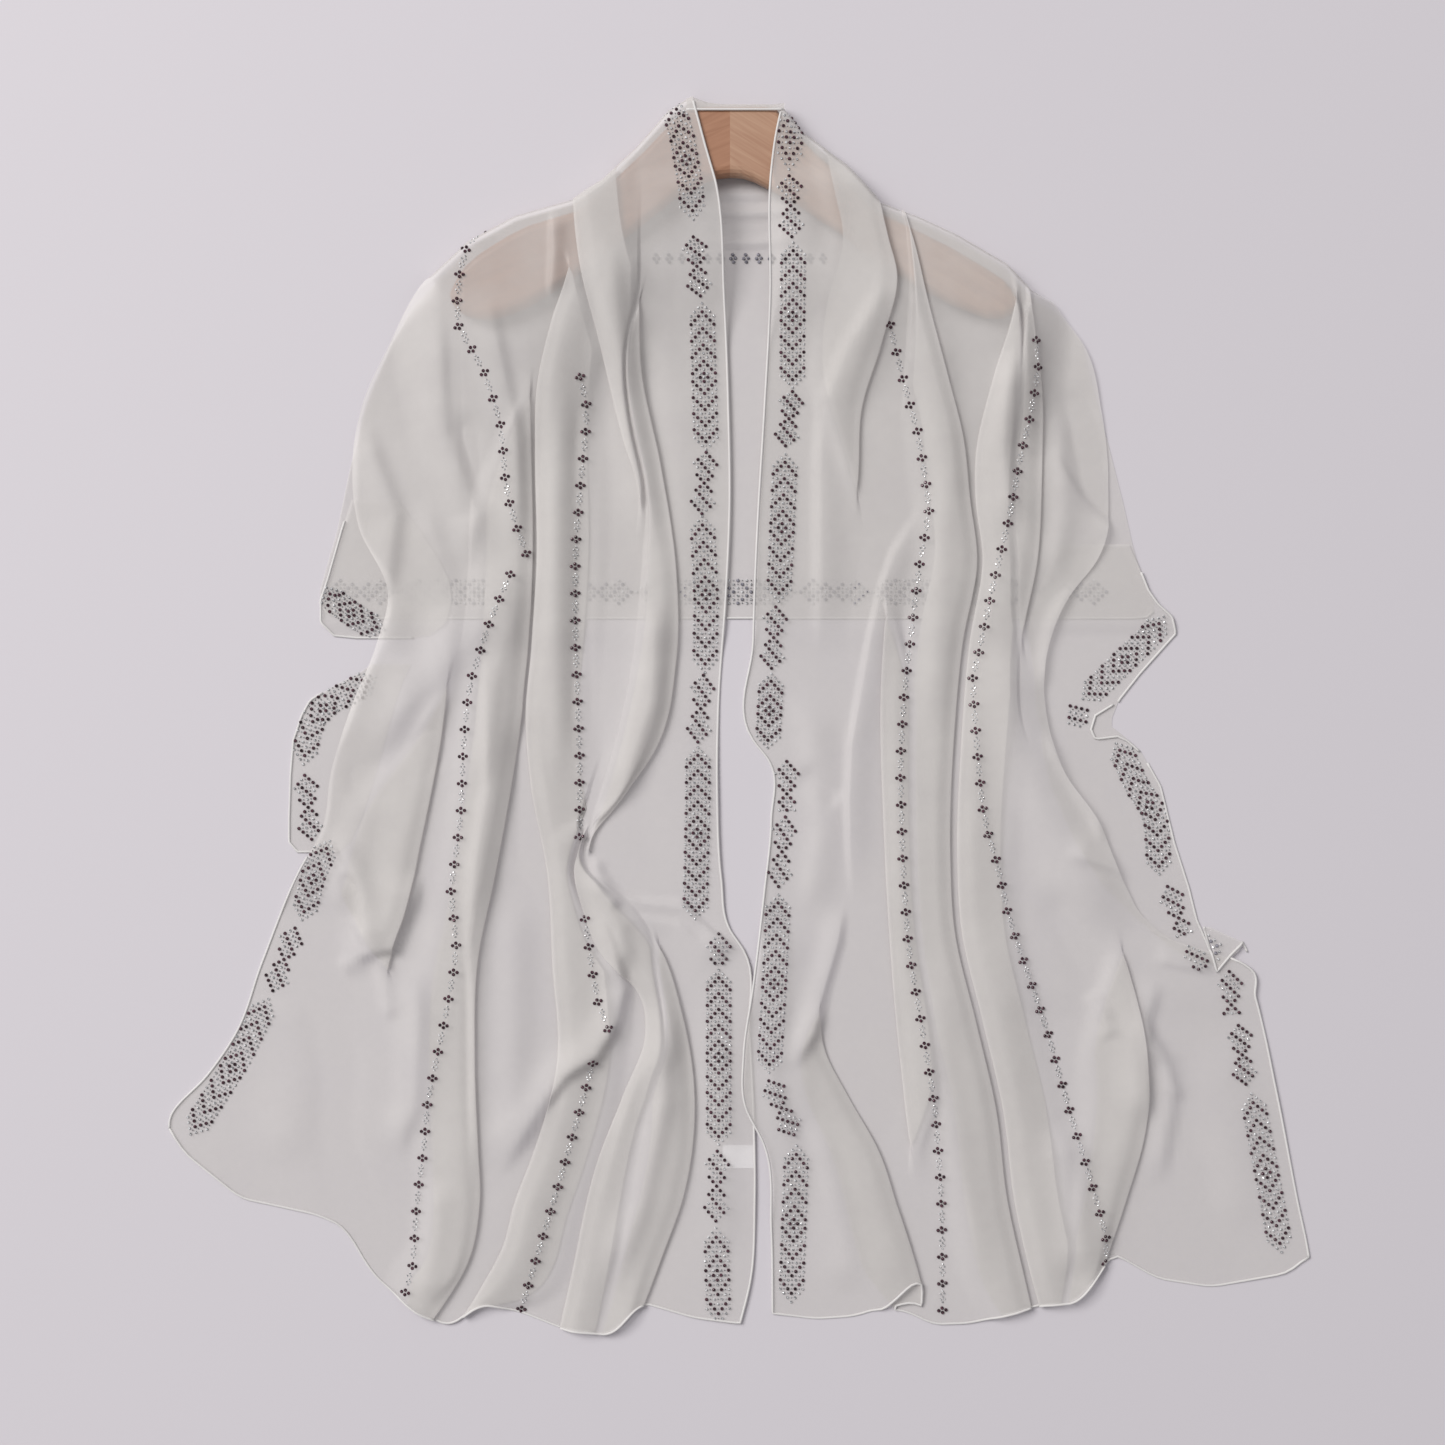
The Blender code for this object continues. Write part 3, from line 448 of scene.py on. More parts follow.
def frontGrid(front):
    # Points of a whole front, row by row from the shoulder line to the hem
    side = front["side"]
    hem = softLine(front["hem"])
    lines = [denseLine(front["inner"])]
    lines += [denseLine(fold["line"]) for fold in front["folds"]]
    lines.append(denseLine(front["outer"]))
    faces = [fold["faces"] for fold in front["folds"]]
    top, close = cloth["topShare"], cloth["topRows"]
    upper = np.linspace(0, top, close + 1)[:-1]
    shares = np.concatenate([upper, np.linspace(top, 1.0, cloth["rows"] - close)])
    grid = []
    for share in shares:
        def rowY(x):
            return acrossLine(front["shoulder"], x) * (1 - share) + acrossLine(hem, x) * share

        edges, heights = [], []
        for line in lines:
            y = float(rowY(lineX(line, 0.0)))
            for _ in range(cloth["searchSteps"]):
                y = 0.5 * y + 0.5 * float(rowY(lineX(line, y)))
            edges.append(side * lineX(line, y))
            heights.append(y)
        for k in range(1, len(edges)):
            edges[k] = max(edges[k], edges[k - 1] + cloth["leastRun"])
        states = [foldState(fold, y) for fold, y in zip(front["folds"], heights[1:-1])]
        path = section(edges, faces, [s[0] for s in states], [s[1] for s in states])
        x = side * path[:, 0]
        y = rowY(x)
        # Near the hem the upper layers of some folds are drawn up
        for fold, edge in zip(front["folds"], edges[1:-1]):
            lift, reach = fold.get("hemLift", (0, 1))
            near = np.exp(-(((edge - path[:, 0]) / reach) ** 2)) * smooth(0.3, 2.0, path[:, 1])
            y = y + lift * near * smooth(0.75, 1.0, share) ** 2
        inside = acrossLine(front["shoulder"], x) - y
        z = frontFloor(front["lifts"], x, y, inside) + cloth["layerStep"] * path[:, 1]
        # Behind each fold's edge the upper layer stands up in a soft roll
        peak = cloth["rollPeak"]
        for edge, face, state in zip(edges[1:-1], faces, states):
            behind = path[:, 0] - edge if face == "in" else edge - path[:, 0]
            roll = smooth(-1.0, peak, behind) * (1.0 - smooth(peak, cloth["rollWidth"], behind))
            z = z + cloth["rollHeight"] * state[2] * roll * smooth(0.9, 1.7, path[:, 1])
        grid.append(np.stack([x, y, z], axis=1))
    grid = np.array(grid)
    x, y = grid[:, :, 0], grid[:, :, 1]
    soft = smooth(0.0, top, shares)[:, None]
    loft = creaseHeight(front["creases"], x, y)
    for rise, acrossX, bendX, bendEachY, alongY, bendY, bendEachX in cloth["waves"]:
        across = np.sin(x / acrossX + bendX * np.sin(y / bendEachY))
        loft += rise * across * np.sin(y / alongY + bendY * np.sin(x / bendEachX))
    grid[:, :, 2] += np.maximum(loft * soft, -cloth["deepestTrough"] * cloth["layerStep"])
    grid[:, :, 2] = np.maximum(grid[:, :, 2], cloth["floorGap"] + backStep(y))
    return grid


def addPiece(name, mesh, material):
    mesh.materials.clear()
    mesh.materials.append(material)
    piece = bpy.data.objects.new(name, mesh)
    bpy.context.scene.collection.objects.link(piece)
    return piece


def sheetMesh(name, grid, material):
    rows, columns = grid.shape[:2]
    mesh = bpy.data.meshes.new(name)
    index = np.arange(rows * columns).reshape(rows, columns)
    corners = [index[:-1, :-1], index[1:, :-1], index[1:, 1:], index[:-1, 1:]]
    quads = np.stack(corners, axis=-1).reshape(-1, 4)
    places = grid.reshape(-1, 3)
    start, down, _, along = places[quads[0]]
    if np.cross(down - start, along - start)[2] < 0:
        quads = quads[:, ::-1]
    mesh.from_pydata((places * mm).tolist(), [], quads.tolist())
    mesh.update()
    mesh.shade_smooth()
    return addPiece(name, mesh, material)


def tubeMesh(name, path, radius, material, sides=6):
    # Rolled hem: a thin tube along a line of points
    leastStep = 1.2
    path = np.array(path)
    keep = [0]
    for k in range(1, len(path)):
        if np.linalg.norm(path[k] - path[keep[-1]]) > leastStep:
            keep.append(k)
    path = path[keep]
    tangent = np.gradient(path, axis=0)
    tangent /= np.linalg.norm(tangent, axis=1)[:, None]
    sideways = np.cross(tangent, [0.0, 0.0, 1.0])
    sideways /= np.maximum(np.linalg.norm(sideways, axis=1), 1e-6)[:, None]
    upward = np.cross(sideways, tangent)
    verts, quads = [], []
    for k in range(len(path)):
        for s in range(sides):
            a = 2 * pi * s / sides
            verts.append(path[k] + radius * (cos(a) * sideways[k] + sin(a) * upward[k]))
    for k in range(len(path) - 1):
        for s in range(sides):
            n = (s + 1) % sides
            quads.append((k * sides + s, k * sides + n, (k + 1) * sides + n, (k + 1) * sides + s))
    quads.append(tuple(range(sides))[::-1])
    quads.append(tuple((len(path) - 1) * sides + s for s in range(sides)))
    mesh = bpy.data.meshes.new(name)
    mesh.from_pydata((np.array(verts) * mm).tolist(), [], quads)
    cleaned = bmesh.new()
    cleaned.from_mesh(mesh)
    bmesh.ops.recalc_face_normals(cleaned, faces=cleaned.faces)
    cleaned.to_mesh(mesh)
    cleaned.free()
    mesh.shade_smooth()
    return addPiece(name, mesh, material)


def newMaterial(name, color, roughness):
    material = bpy.data.materials.new(name)
    material.use_nodes = True
    shader = material.node_tree.nodes["Principled BSDF"]
    shader.inputs["Base Color"].default_value = (*color, 1.0)
    shader.inputs["Roughness"].default_value = roughness
    return material, shader


def addNode(material, kind, values):
    node = material.node_tree.nodes.new("ShaderNode" + kind)
    for socket, value in values.items():
        node.inputs[socket].default_value = value
    return node


def join(material, source, output, target, socket):
    material.node_tree.links.new(source.outputs[output], target.inputs[socket])


def objectNoise(material, values, through=()):
    # Noise in the piece's own coordinates, led through the nodes given
    source, output = addNode(material, "TexCoord", {}), "Object"
    for node in through:
        join(material, source, output, node, "Vector")
        source, output = node, "Vector"
    noise = addNode(material, "TexNoise", values)
    join(material, source, output, noise, "Vector")
    return noise


def noiseColor(material, shader, noise, low, high):
    # Base colour between two (position, colour) stops
    ramp = addNode(material, "ValToRGB", {})
    for element, (position, color) in zip(ramp.color_ramp.elements, (low, high)):
        element.position = position
        element.color = (*color, 1.0)
    join(material, noise, "Fac", ramp, "Fac")
    join(material, ramp, "Color", shader, "Base Color")


def noiseBump(material, shader, noise, strength, distance=0.0004):
    bump = addNode(material, "Bump", {"Strength": strength, "Distance": distance})
    join(material, noise, "Fac", bump, "Height")
    join(material, bump, "Normal", shader, "Normal")


def stoneMaterial(name, color, roughness, metallic, dark, light):
    # Painted glints: the base colour is speckled from dark to bright, as if each facet caught the light its
    # own way
    material, shader = newMaterial(name, color, roughness)
    shader.inputs["Metallic"].default_value = metallic
    paintedGlints = objectNoise(material, {"Scale": 950.0, "Detail": 1.0})
    noiseColor(material, shader, paintedGlints, (0.42, dark), (0.6, light))
    return material


def chiffonMaterial(name, color, alpha):
    # A crepe bump, and a density that is cloudy about its alpha
    material, shader = newMaterial(name, color, 0.8)
    cloud = objectNoise(material, {"Scale": 22.0, "Detail": 3.0})
    limits = {"From Min": 0.3, "From Max": 0.7, "To Min": alpha - 0.05, "To Max": alpha + 0.05}
    density = addNode(material, "MapRange", limits)
    join(material, cloud, "Fac", density, "Value")
    join(material, density, "Result", shader, "Alpha")
    noiseBump(material, shader, objectNoise(material, {"Scale": 1400.0, "Detail": 2.0}), 0.12)
    shader.inputs["Sheen Weight"].default_value = 0.2
    shader.inputs["Sheen Roughness"].default_value = 0.5
    shader.inputs["Specular IOR Level"].default_value = 0.2
    return material


def grainyMaterial(name, color, roughness, scale, strength):
    material, shader = newMaterial(name, color, roughness)
    noiseBump(material, shader, objectNoise(material, {"Scale": scale, "Detail": 3.0}), strength)
    return material


def woodMaterial(name, light, dark, turn):
    # Grain drawn out along the arm of the hanger
    material, shader = newMaterial(name, light, 0.42)
    along = addNode(material, "Mapping", {"Rotation": (0.0, 0.0, radians(turn))})
    stretch = addNode(material, "Mapping", {"Scale": (14.0, 190.0, 120.0)})
    grain = objectNoise(material, {"Scale": 1.6, "Detail": 5.0, "Distortion": 0.6}, (along, stretch))
    noiseColor(material, shader, grain, (0.35, dark), (0.66, light))
    noiseBump(material, shader, grain, 0.15, 0.0003)
    return material


chiffon = chiffonMaterial("warm white chiffon", (0.705, 0.676, 0.659), 0.5)
hemCloth = chiffonMaterial("rolled chiffon hem", (0.76, 0.74, 0.73), 0.8)
# The last two colours of each stone are the shaded and the bright ends of its painted glints
darkStone = stoneMaterial("dark plum stone", (0.055, 0.025, 0.035), 0.2, 0.15,
                          (0.008, 0.003, 0.005), (0.11, 0.045, 0.065))
clearStone = stoneMaterial("silver backed stone", (0.62, 0.63, 0.64), 0.14, 0.35,
                           (0.26, 0.26, 0.27), (0.88, 0.88, 0.89))
tinyStone = stoneMaterial("tiny grey stone", (0.3, 0.3, 0.32), 0.3, 0.0, (0.12, 0.11, 0.12), (0.5, 0.5, 0.52))
veiledStone = stoneMaterial("dark stone under the back", (0.17, 0.165, 0.19), 0.4, 0.0,
                            (0.12, 0.115, 0.14), (0.30, 0.29, 0.33))
labelCloth = grainyMaterial("white label satin", (0.93, 0.92, 0.96), 0.5, 900.0, 0.2)
darkWood = woodMaterial("pinkish beech", (0.365, 0.185, 0.11), (0.31, 0.15, 0.086), -24)
lightWood = woodMaterial("pale beech", (0.44, 0.27, 0.18), (0.36, 0.20, 0.128), 32)
print("materials made")

sheets = {}
grids = {}


def addSheet(name, grid):
    # The chiffon of one stretch, in place of its solid
    grids[name] = grid
    sheets[name] = sheetMesh(name + "_chiffon", grid, chiffon)
    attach(sheets[name], "root")
    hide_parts(name)


addSheet("left_front", frontGrid(leftFront))
addSheet("right_front", frontGrid(rightFront))
print("fronts made")

# The back: cross gathers behind the neck, then one flat layer down to its hem
back = {
    "outline": [(-302, 90, 82), (-297, 108, 74), (-290, 131, 71), (-281, 175, 70.2), (-269, 222, 70.2),
                (-252, 265, 70.2), (-236, 293, 70.2), (-219, 311, 70.2), (-190, 340, 70.2), (-161, 356, 70.2),
                (-119, 368, 70.2), (-86, 394, 70.2), (-51, 430, 70.2), (-33, 442, 70.2), (-13, 440, 70.2),
                (23, 440, 70.2), (33, 434, 70.2), (48, 416, 70.2), (76, 392, 70.2), (100, 365, 70.2),
                (129, 355, 70.2), (155, 342, 70.2), (191, 322, 70.2), (209, 302, 70.2), (229, 289, 70.2),
                (246, 269, 70.2), (257, 226, 70.2), (265, 197, 70.2), (276, 154, 70.2), (284, 118, 70.2),
                (293, 92, 71), (298, 83, 75)],
    # Cross gathers behind the neck: y of the ridge, height, softness above it; they sag about the middle
    "gathers": [(373, 2.2, 5.0), (360, 3.0, 5.0), (339, 2.6, 4.0)],
    "gathered": (-44.0, -26.0, 34.0, 52.0),
    "sharp": 2.2,
    "sagMiddle": 4.0,
    "sag": 0.0022,
    "level": 0.7,
    "columns": 240,
    "rows": 150,
}


def backGrid():
    places, tops, lows = zip(*back["outline"])
    xs = np.linspace(places[0], places[-1], back["columns"])
    t = np.linspace(0, 1, back["rows"])[:, None]
    y = np.interp(xs, places, tops) * (1 - t) + np.interp(xs, places, lows) * t
    x = np.repeat(xs[None, :], back["rows"], axis=0)
    z = np.full_like(x, back["level"])
    for height, rise, width in back["gathers"]:
        sag = y - height - back["sag"] * (x - back["sagMiddle"]) ** 2
        ridge = np.exp(-((sag / np.where(sag > 0, width, back["sharp"])) ** 2))
        z += rise * window(*back["gathered"], x) * ridge
    return np.stack([x, y, z], axis=-1)


addSheet("back_panel", backGrid())

# The back's upper hem comes round the top of the hanger and lies on it
neck = {
    "tops": [(-38, 441.0), (-33, 441.5), (-23, 438.0), (-12, 436.6), (10, 436.4), (24, 436.6), (32, 437.6)],
    "hem": (431.2, 17.5),
    "around": [(-2.5, 1.0), (-0.6, 4.0), (0.0, 9.0), (-0.5, 13.0), (-2.0, 16.2), (-3.6, 17.2)],
    "columns": 60,
}


def neckGrid():
    places, tops = zip(*neck["tops"])
    xs = np.linspace(places[0], places[-1], neck["columns"])
    top = np.interp(xs, places, tops)
    hemY, hemZ = neck["hem"]
    rows = [np.stack([xs, top + out, np.full_like(xs, up)], axis=1) for out, up in neck["around"]]
    rows.append(np.stack([xs, np.full_like(xs, hemY), np.full_like(xs, hemZ)], axis=1))
    return np.array(rows)


grids["neck_roll"] = neckGrid()
neckRoll = sheetMesh("back_panel_neck_roll", grids["neck_roll"], chiffon)
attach(neckRoll, "root")

# Outer border stretches beyond the fronts: rows of (y, left, right)
flaps = {
    "left_flap_upper": [(155, -279, -246), (133, -286, -230), (112, -292, -216), (98, -296, -209),
                        (83, -301, -207), (67, -301, -211), (57, -291, -223), (56, -276, -234)],
    "left_flap_middle": [(37, -265, -236), (31, -273, -239), (23, -289, -243), (11, -309, -247),
                         (0, -315, -250), (-18, -321, -255), (-43, -323, -262), (-74, -324, -272),
                         (-91, -324, -280), (-98, -318, -288)],
    "right_flap_upper": [(123, 231, 280), (105, 221, 288), (90, 215, 294), (80, 212, 301), (71, 209, 311),
                         (59, 208, 314), (49, 209, 305), (30, 212, 288), (11, 213, 273), (-2, 215, 268),
                         (-8, 217, 268)],
    "right_flap_lower": [(-8, 217, 268), (-15, 217, 277), (-26, 218, 289), (-51, 224, 303), (-92, 242, 313),
                         (-123, 262, 323), (-147, 287, 329), (-165, 308, 337), (-179, 329, 342)],
}
# The upper flaps lie on the back and come down at its hem
flapSizes = {"rows": 60, "columns": 40, "overBack": 1.5, "backFade": (14.0, 3.0)}


def flapGrid(outline, overBack):
    ys, lefts, rights = zip(*outline)
    y = np.linspace(ys[0], ys[-1], flapSizes["rows"])
    falling = [-v for v in ys]
    t = np.linspace(0, 1, flapSizes["columns"])[None, :]
    x = np.interp(-y, falling, lefts)[:, None] * (1 - t) + np.interp(-y, falling, rights)[:, None] * t
    y = np.repeat(y[:, None], flapSizes["columns"], axis=1)
    z = np.full_like(x, cloth["wall"] / 2)
    if overBack:
        low, high = flapSizes["backFade"]
        z += flapSizes["overBack"] * smooth(cloth["backHemY"] - low, cloth["backHemY"] - high, y)
    return np.stack([x, y, z], axis=-1)


for name, outline in flaps.items():
    addSheet(name, flapGrid(outline, name.endswith("upper")))
print("back and flaps made")

# Turned-over tip of the right outer border, lying on the front
tip = [(-152, 334, 338), (-158, 336, 351), (-163, 338, 362), (-169, 340, 359), (-176, 341, 351),
       (-184, 342, 344)]
tipLift = 2.0
grids["right_turned_tip"] = flapGrid(tip, False) + np.array([0.0, 0.0, tipLift])
turnedTip = sheetMesh("right_turned_tip_chiffon", grids["right_turned_tip"], chiffon)
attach(turnedTip, "root")

hems = {}
hemRadius = 0.85
frontStart, flapStart = 4, 9


def addHem(name, path):
    hems[name] = tubeMesh(name, path, hemRadius, hemCloth)
    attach(hems[name], "root")


# Hems start a few rows below the upper edge; the outer ones only where no flap covers them
for name in ("left_front", "right_front"):
    grid = grids[name]
    addHem(name + "_hem", np.concatenate([grid[frontStart:, 0], grid[-1, 1:]]))
for side, below in (("left", -100), ("right", -172)):
    outer = grids[side + "_front"][:, -1]
    addHem(side + "_outer_hem", outer[outer[:, 1] < below])
addHem("back_hem", grids["back_panel"][-1])
addHem("neck_hem", grids["neck_roll"][-1])
for name in flaps:
    grid = grids[name]
    if name.startswith("left"):
        line = np.concatenate([grid[flapStart:, 0], grid[-1]])
    else:
        line = grid[flapStart:, -1]
    if name == "right_flap_upper":
        line = line[line[:, 1] > turnedHems["right_turned_pocket"][0][1]]
    addHem(name + "_hem", line)

sheetTrees = {name: BVHTree.FromPolygons([v.co for v in sheet.data.vertices],
                                         [tuple(p.vertices) for p in sheet.data.polygons])
              for name, sheet in {**sheets, "right_turned_tip": turnedTip}.items()}
rayStart = 100.0 * mm


def under(tree, x, y):
    # The place and the normal of a sheet straight under a point, or None
    hit, normal, _, _ = tree.ray_cast(Vector((x * mm, y * mm, rayStart)), Vector((0, 0, -1)))
    return hit, normal


def topHeight(x, y):
    # Height of the uppermost sheet at a place, in millimetres
    hits = [under(tree, x, y)[0] for tree in sheetTrees.values()]
    return max([0.0] + [hit.z / mm for hit in hits if hit is not None])


hemOver = 0.5
for name, corners in turnedHems.items():
    places = []
    for (ax, ay), (bx, by) in zip(corners, corners[1:]):
        for t in np.linspace(0, 1, 8)[:-1]:
            x, y = ax + (bx - ax) * t, ay + (by - ay) * t
            places.append((x, y, topHeight(x, y) + hemOver))
    addHem(name, places)
print("hems made")

# Hot-fix stones in millimetres: radii, steps in the bands and flower rows, how a stone sits in the cloth
stoneSizes = {
    "dark": 1.34,
    "clear": 1.1,
    "sprig": 0.82,
    "tiny": 0.6,
    "rowStep": 2.95,
    "columnStep": 2.73,
    "fullLength": 38.0,
    "flowerPitch": 19.1,
    "sprigRoom": 12.0,
    "sink": 0.15,
    "over": 0.12,
}
bands = [
    {"on": "left_front", "motifs": [("big", [(-43, 437), (-46, 428), (-41, 411), (-35, 376), (-33, 352)]),
     ("small", [(-33, 340), (-28, 300)]), ("big", [(-27, 295), (-25, 226), (-24, 191)]),
     ("small", [(-24, 189), (-27, 145)]), ("big", [(-27, 143), (-24, 83), (-25, 31)]),
     ("small", [(-26, 29), (-30, -19)]), ("big", [(-30, -23), (-30, -61), (-32, -146)]),
     ("small", [(-15, -157), (-15, -178)]), ("big", [(-15, -183), (-15, -308)]),
     ("small", [(-16, -313), (-17, -363)]), ("big", [(-17, -368), (-15, -437)])]},
    {"on": "right_front", "motifs": [("big", [(38, 434), (36, 414), (35, 388)]),
     ("small", [(35, 383), (37, 340)]), ("big", [(38, 336), (38, 236)]),
     ("small", [(38, 233), (33, 194)]), ("big", [(33, 188), (28, 82)]),
     ("small", [(26, 78), (23, 34)]), ("big", [(23, 30), (20, -23)]), ("small", [(34, -33), (34, -68)]),
     ("small", [(33, -73), (28, -123)]), ("big", [(28, -129), (25, -190), (21, -256)]),
     ("small", [(21, -262), (39, -301)]), ("big", [(41, -309), (37, -422)])]},
    {"on": "left_flap_upper", "motifs": [("big", [(-297, 92), (-292, 83), (-280, 74), (-268, 66),
     (-256, 62)])]},
    {"on": "left_flap_middle", "motifs": [("big", [(-262, 28), (-280, 17), (-295, 10), (-306, -1),
     (-311, -16), (-314, -35)]), ("small", [(-313, -43), (-308, -89)])]},
    {"on": "left_front", "motifs": [("big", [(-294, -90), (-306, -114), (-315, -147)]),
     ("small", [(-320, -153), (-336, -198)]), ("big", [(-339, -204), (-360, -246), (-395, -301)])]},
    {"on": "right_flap_upper", "motifs": [("big", [(305, 71), (295, 57), (276, 39), (259, 22), (247, 12)]),
     ("small", [(238, 7), (243, 0), (247, -6)])]},
    {"on": "right_flap_lower", "motifs": [("big", [(271, -20), (278, -33), (286, -51), (297, -67), (300, -78),
     (301, -94), (302, -114)]), ("small", [(308, -123), (320, -157)])]},
    {"on": "right_front", "motifs": [("small", [(324, -162), (332, -181)])]},
    {"on": "right_turned_tip", "veiled": True, "motifs": [("big", [(337, -158), (344, -175)])]},
    {"on": "right_front", "motifs": [("small", [(352, -184), (354, -214)]),
     ("small", [(359, -223), (364, -265)]), ("big", [(368, -272), (390, -386)])]},
    {"on": "back_panel", "veiled": True, "motifs": [
     ("small", [(-296, 89), (-250, 89)]), ("big", [(-246, 89), (-130, 89)]),
     ("small", [(-126, 89), (-78, 89)]), ("big", [(-74, 89), (40, 89)]), ("small", [(44, 89), (92, 89)]),
     ("big", [(96, 89), (212, 89)]), ("small", [(216, 89), (264, 89)])]},
]
flowerRows = [
    {"on": "left_front", "line": [(-184, 347), (-198, 327), (-201, 296), (-202, 280), (-193, 265), (-180, 241),
     (-170, 205), (-167, 160), (-158, 130), (-153, 116)]},
    {"on": "left_front", "line": [(-164, 101), (-178, 68), (-194, 22), (-198, -18), (-200, -72), (-207, -126),
     (-203, -166), (-205, -184), (-212, -221), (-224, -277), (-227, -312), (-232, -347), (-235, -398),
     (-240, -414)]},
    {"on": "left_front", "line": [(-114, 242), (-109, 219), (-114, 169), (-118, 119), (-118, 52), (-115, -29),
     (-115, -87)]},
    {"on": "left_front", "line": [(-111, -146), (-103, -202), (-94, -224)]},
    {"on": "left_front", "line": [(-105, -249), (-113, -277), (-128, -330), (-149, -400), (-157, -427)]},
    {"on": "right_front", "line": [(107, 278), (119, 232), (128, 202), (135, 158), (136, 143), (130, 115),
     (124, 65), (118, 16), (115, -36), (117, -110), (121, -167), (131, -226), (140, -282), (145, -341),
     (146, -394), (146, -428)]},
    {"on": "right_front", "line": [(211, 267), (213, 251), (208, 217), (200, 184), (192, 139), (181, 92),
     (171, 43), (167, 26), (170, -24), (175, -75), (185, -107), (193, -145), (204, -177), (222, -229),
     (242, -301), (257, -352), (265, -385), (263, -393)]},
    {"on": "back_panel", "line": [(-60, 329), (60, 329)], "pitch": 8.9},
]


def resample(points, step):
    # Evenly spaced places along a line, and its direction at each
    points = np.array(points, float)
    lengths = np.hypot(*np.diff(points, axis=0).T)
    total = lengths.sum()
    count = max(int(round(total / step)), 1)
    at = np.linspace(0, total, count + 1)
    run = np.concatenate([[0], np.cumsum(lengths)])
    x = np.interp(at, run, points[:, 0])
    y = np.interp(at, run, points[:, 1])
    spots = np.stack([x, y], axis=1)
    ahead = np.gradient(spots, axis=0)
    ahead /= np.linalg.norm(ahead, axis=1)[:, None]
    return spots, ahead


def motifStones(kind, points):
    # Seven columns, with large stones on every other crossing and tiny ones between them. Long motifs are
    # nested chevrons round a small diamond; short ones are two hourglass diamonds joined by a cross.
    length = np.hypot(*np.diff(np.array(points, float), axis=0).T).sum()
    if kind == "big":
        rows = 8 * round((length / stoneSizes["rowStep"] - 4) / 8) + 4
    else:
        rows = 16 if length > stoneSizes["fullLength"] else round(length / stoneSizes["rowStep"])
    spots, ahead = resample(points, length / rows)
    count = len(spots) - 1
    waist = (0, 1, 2, 3, 2, 1, 2, 1, 0)
    found = []
    for i in range(count + 1):
        nearTip = min(i, count - i)
        for c in range(-3, 4):
            if kind == "big":
                if nearTip < abs(c):
                    continue
                size = ("clear", "tiny", "dark", "tiny")[(nearTip - abs(c)) % 4]
                fromMiddle = count // 2 - nearTip + abs(c)
                if fromMiddle < 2:
                    size = "dark" if fromMiddle == 1 else "clear"
            else:
                nearRow, turned = (i, c) if i <= 8 else (16 - i, -c)
                if nearRow < 0 or abs(c) > waist[nearRow]:
                    continue
                rightArm = nearRow <= 3 and turned == nearRow
                slant = 2 <= nearRow <= 5 and turned == nearRow - 4
                cross = nearRow >= 6 and abs(turned) == 8 - nearRow
                size = "dark" if rightArm or slant or cross else "clear"
                if (nearRow + c) % 2:
                    size = "tiny"
            sideways = np.array([-ahead[i][1], ahead[i][0]])
            found.append((size, spots[i] + c * stoneSizes["columnStep"] * sideways))
    return found


# Places along and across a flower row
crossPlaces = [(1.6, 0.2), (-1.6, -0.2), (-0.3, 2.6), (0.3, -2.6)]
sprigPlaces = [(-4.3, 0.2), (-2.5, 1.3), (-2.1, -1.4), (-0.3, 0.2), (1.5, 1.4), (1.9, -1.3), (3.7, 0.1)]


def flowerStones(points, pitch):
    # Four dark stones in a flat cross, then a sprig of small clear ones where there is room
    spots, ahead = resample(points, pitch)
    found = []
    for k, (spot, way) in enumerate(zip(spots, ahead)):
        across = np.array([-way[1], way[0]])
        for a, b in crossPlaces:
            found.append(("dark", spot + a * way + b * across))
        if k + 1 < len(spots) and pitch > stoneSizes["sprigRoom"]:
            middle = (spot + spots[k + 1]) / 2
            for a, b in sprigPlaces:
                found.append(("sprig", middle + a * way + b * across))
    return found


def stoneShape(radius, sides):
    # A low faceted dome with a small flat top: rings of (share of the radius, turn, height)
    verts = []
    for share, turn, height in ((1.0, 0.0, -stoneSizes["sink"]), (0.92, 0.0, 0.35 * radius),
                                (0.5, 0.5, 0.75 * radius)):
        for k in range(sides):
            a = 2 * pi * (k + turn) / sides
            verts.append((share * radius * cos(a), share * radius * sin(a), height))
    faces = []
    for k in range(sides):
        n = (k + 1) % sides
        faces.append((k, n, sides + n, sides + k))
        faces.append((sides + k, sides + n, 2 * sides + k))
        faces.append((2 * sides + k, sides + n, 2 * sides + n))
    faces.append(tuple(2 * sides + k for k in range(sides)))
    faces.append(tuple(range(sides))[::-1])
    return np.array(verts), faces


stones = {}
veiled = {band["on"] for band in bands if band.get("veiled")}
for band in bands:
    for kind, points in band["motifs"]:
        stones.setdefault(band["on"], []).extend(motifStones(kind, points))
for row in flowerRows:
    stones.setdefault(row["on"], []).extend(
        flowerStones(row["line"], row.get("pitch", stoneSizes["flowerPitch"])))

sideCounts = {"dark": 7, "clear": 6, "sprig": 6, "tiny": 5}
shapes = {size: stoneShape(stoneSizes[size], sides) for size, sides in sideCounts.items()}
stonePieces = {}
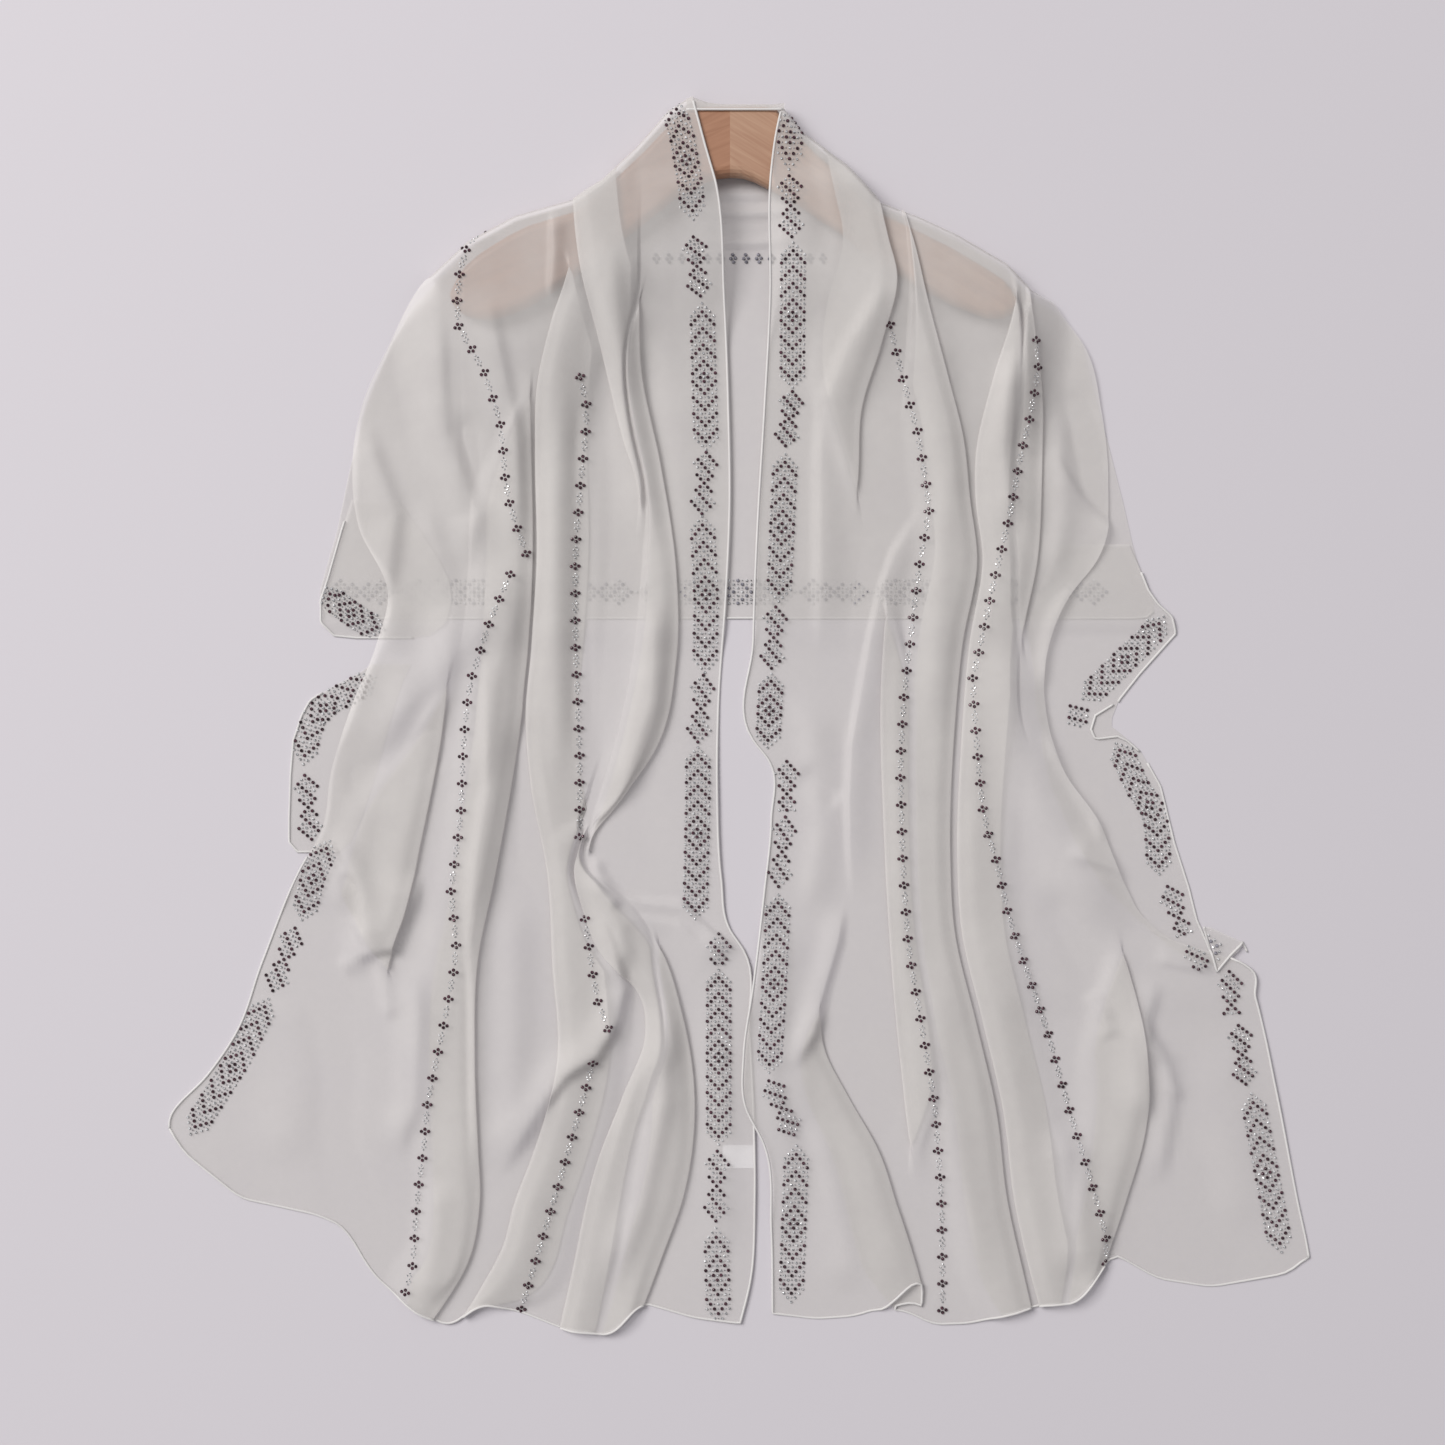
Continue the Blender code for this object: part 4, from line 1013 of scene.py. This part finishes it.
# Each stone leans a little its own way, so that they don't all catch the light at once
lean = 0.10
leanTurns = (12.9898, 78.233)
for on, found in stones.items():
    tree = sheetTrees[on]
    for size, (shapeVerts, shapeFaces) in shapes.items():
        verts, faces, count = [], [], 0
        for k, (kind, spot) in enumerate(found):
            if kind != size:
                continue
            hit, normal = under(tree, *spot)
            if hit is None:
                continue
            normal = Vector((normal.x, normal.y, abs(normal.z)))
            tilt = Vector((lean * sin(k * leanTurns[0]), lean * sin(k * leanTurns[1]), 0.0))
            up = (normal + tilt).normalized()
            turn = up.to_track_quat("Z", "Y").to_matrix()
            base = len(shapeVerts) * count
            for v in shapeVerts:
                verts.append(hit + turn @ (Vector(v) * mm) + up * (stoneSizes["over"] * mm))
            faces.extend([tuple(base + i for i in f) for f in shapeFaces])
            count += 1
        if not count:
            continue
        mesh = bpy.data.meshes.new(on + "_" + size + "_stones")
        mesh.from_pydata([tuple(v) for v in verts], [], faces)
        mesh.update()
        dark = veiledStone if on in veiled else darkStone
        piece = addPiece(mesh.name, mesh, {"dark": dark, "tiny": tinyStone}.get(size, clearStone))
        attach(piece, "root")
        stonePieces.setdefault(on, []).append(piece)
        print(on, size, count, "stones")

# The hanger keeps its solids and gets wood; the glued faces are drawn together
nodes = {o.name: o for o in bpy.data.objects}
glueX = -6.85 * mm
glueReach = 0.5 * mm
for name, wood in (("hanger_left", darkWood), ("hanger_right", lightWood)):
    mesh = nodes[name].data.copy()
    mesh.transform(nodes[name].matrix_world)
    for vertex in mesh.vertices:
        if abs(vertex.co.x - glueX) < glueReach:
            vertex.co.x = glueX
    piece = addPiece(name + "_wood", mesh, wood)
    mesh.shade_smooth()
    mesh.set_sharp_from_angle(angle=radians(50))
    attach(piece, "root")
    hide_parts(name)
nodes["care_label"].data.materials.clear()
nodes["care_label"].data.materials.append(labelCloth)

# Hems and stones that go with each sheet are gathered; the lists are not used further
for name, piece in sheets.items():
    extra = [h for h in hems.values() if h.name.startswith(name)] + stonePieces.get(name, [])
    if name == "left_front":
        extra.append(hems["left_outer_hem"])
    if name == "right_front":
        extra += [hems["right_outer_hem"], hems["right_turned_pocket"], hems["right_turned_corner"]]
        extra += [turnedTip, *stonePieces["right_turned_tip"]]
    if name == "back_panel":
        extra += [hems["neck_hem"], neckRoll]

# Floor, light and camera
bpy.ops.mesh.primitive_plane_add(size=6.0, location=(0, 0, 0))
floor = bpy.context.object
floor.name = "floor"
floorBoard = grainyMaterial("pale lavender grey board", (0.588, 0.559, 0.593), 0.75, 260.0, 0.05)
floor.data.materials.append(floorBoard)

world = bpy.data.worlds.new("soft room")
bpy.context.scene.world = world
world.use_nodes = True
world.node_tree.nodes["Background"].inputs["Color"].default_value = (0.985, 0.975, 1.0, 1.0)
world.node_tree.nodes["Background"].inputs["Strength"].default_value = 0.4

windowData = bpy.data.lights.new("window light", "AREA")
windowData.shape = "SQUARE"
windowData.size = 4.4
windowData.energy = 735.0
windowData.color = (1.0, 0.99, 0.975)
windowLight = bpy.data.objects.new("window light", windowData)
bpy.context.scene.collection.objects.link(windowLight)
windowLight.location = (-5.0, 3.5, 5.9)
windowLight.rotation_mode = "QUATERNION"
windowLight.rotation_quaternion = (-windowLight.location).to_track_quat("-Z", "Y")

view = {"middle": (-0.0122, -0.005), "width": 1.0404, "lens": 50.0}
cameraData = bpy.data.cameras.new("overhead camera")
cameraData.lens = view["lens"]
camera = bpy.data.objects.new("overhead camera", cameraData)
bpy.context.scene.collection.objects.link(camera)
camera.location = (*view["middle"], view["width"] * view["lens"] / cameraData.sensor_width)
bpy.context.scene.camera = camera
bpy.context.scene.view_settings.view_transform = "Standard"
print("stage set")
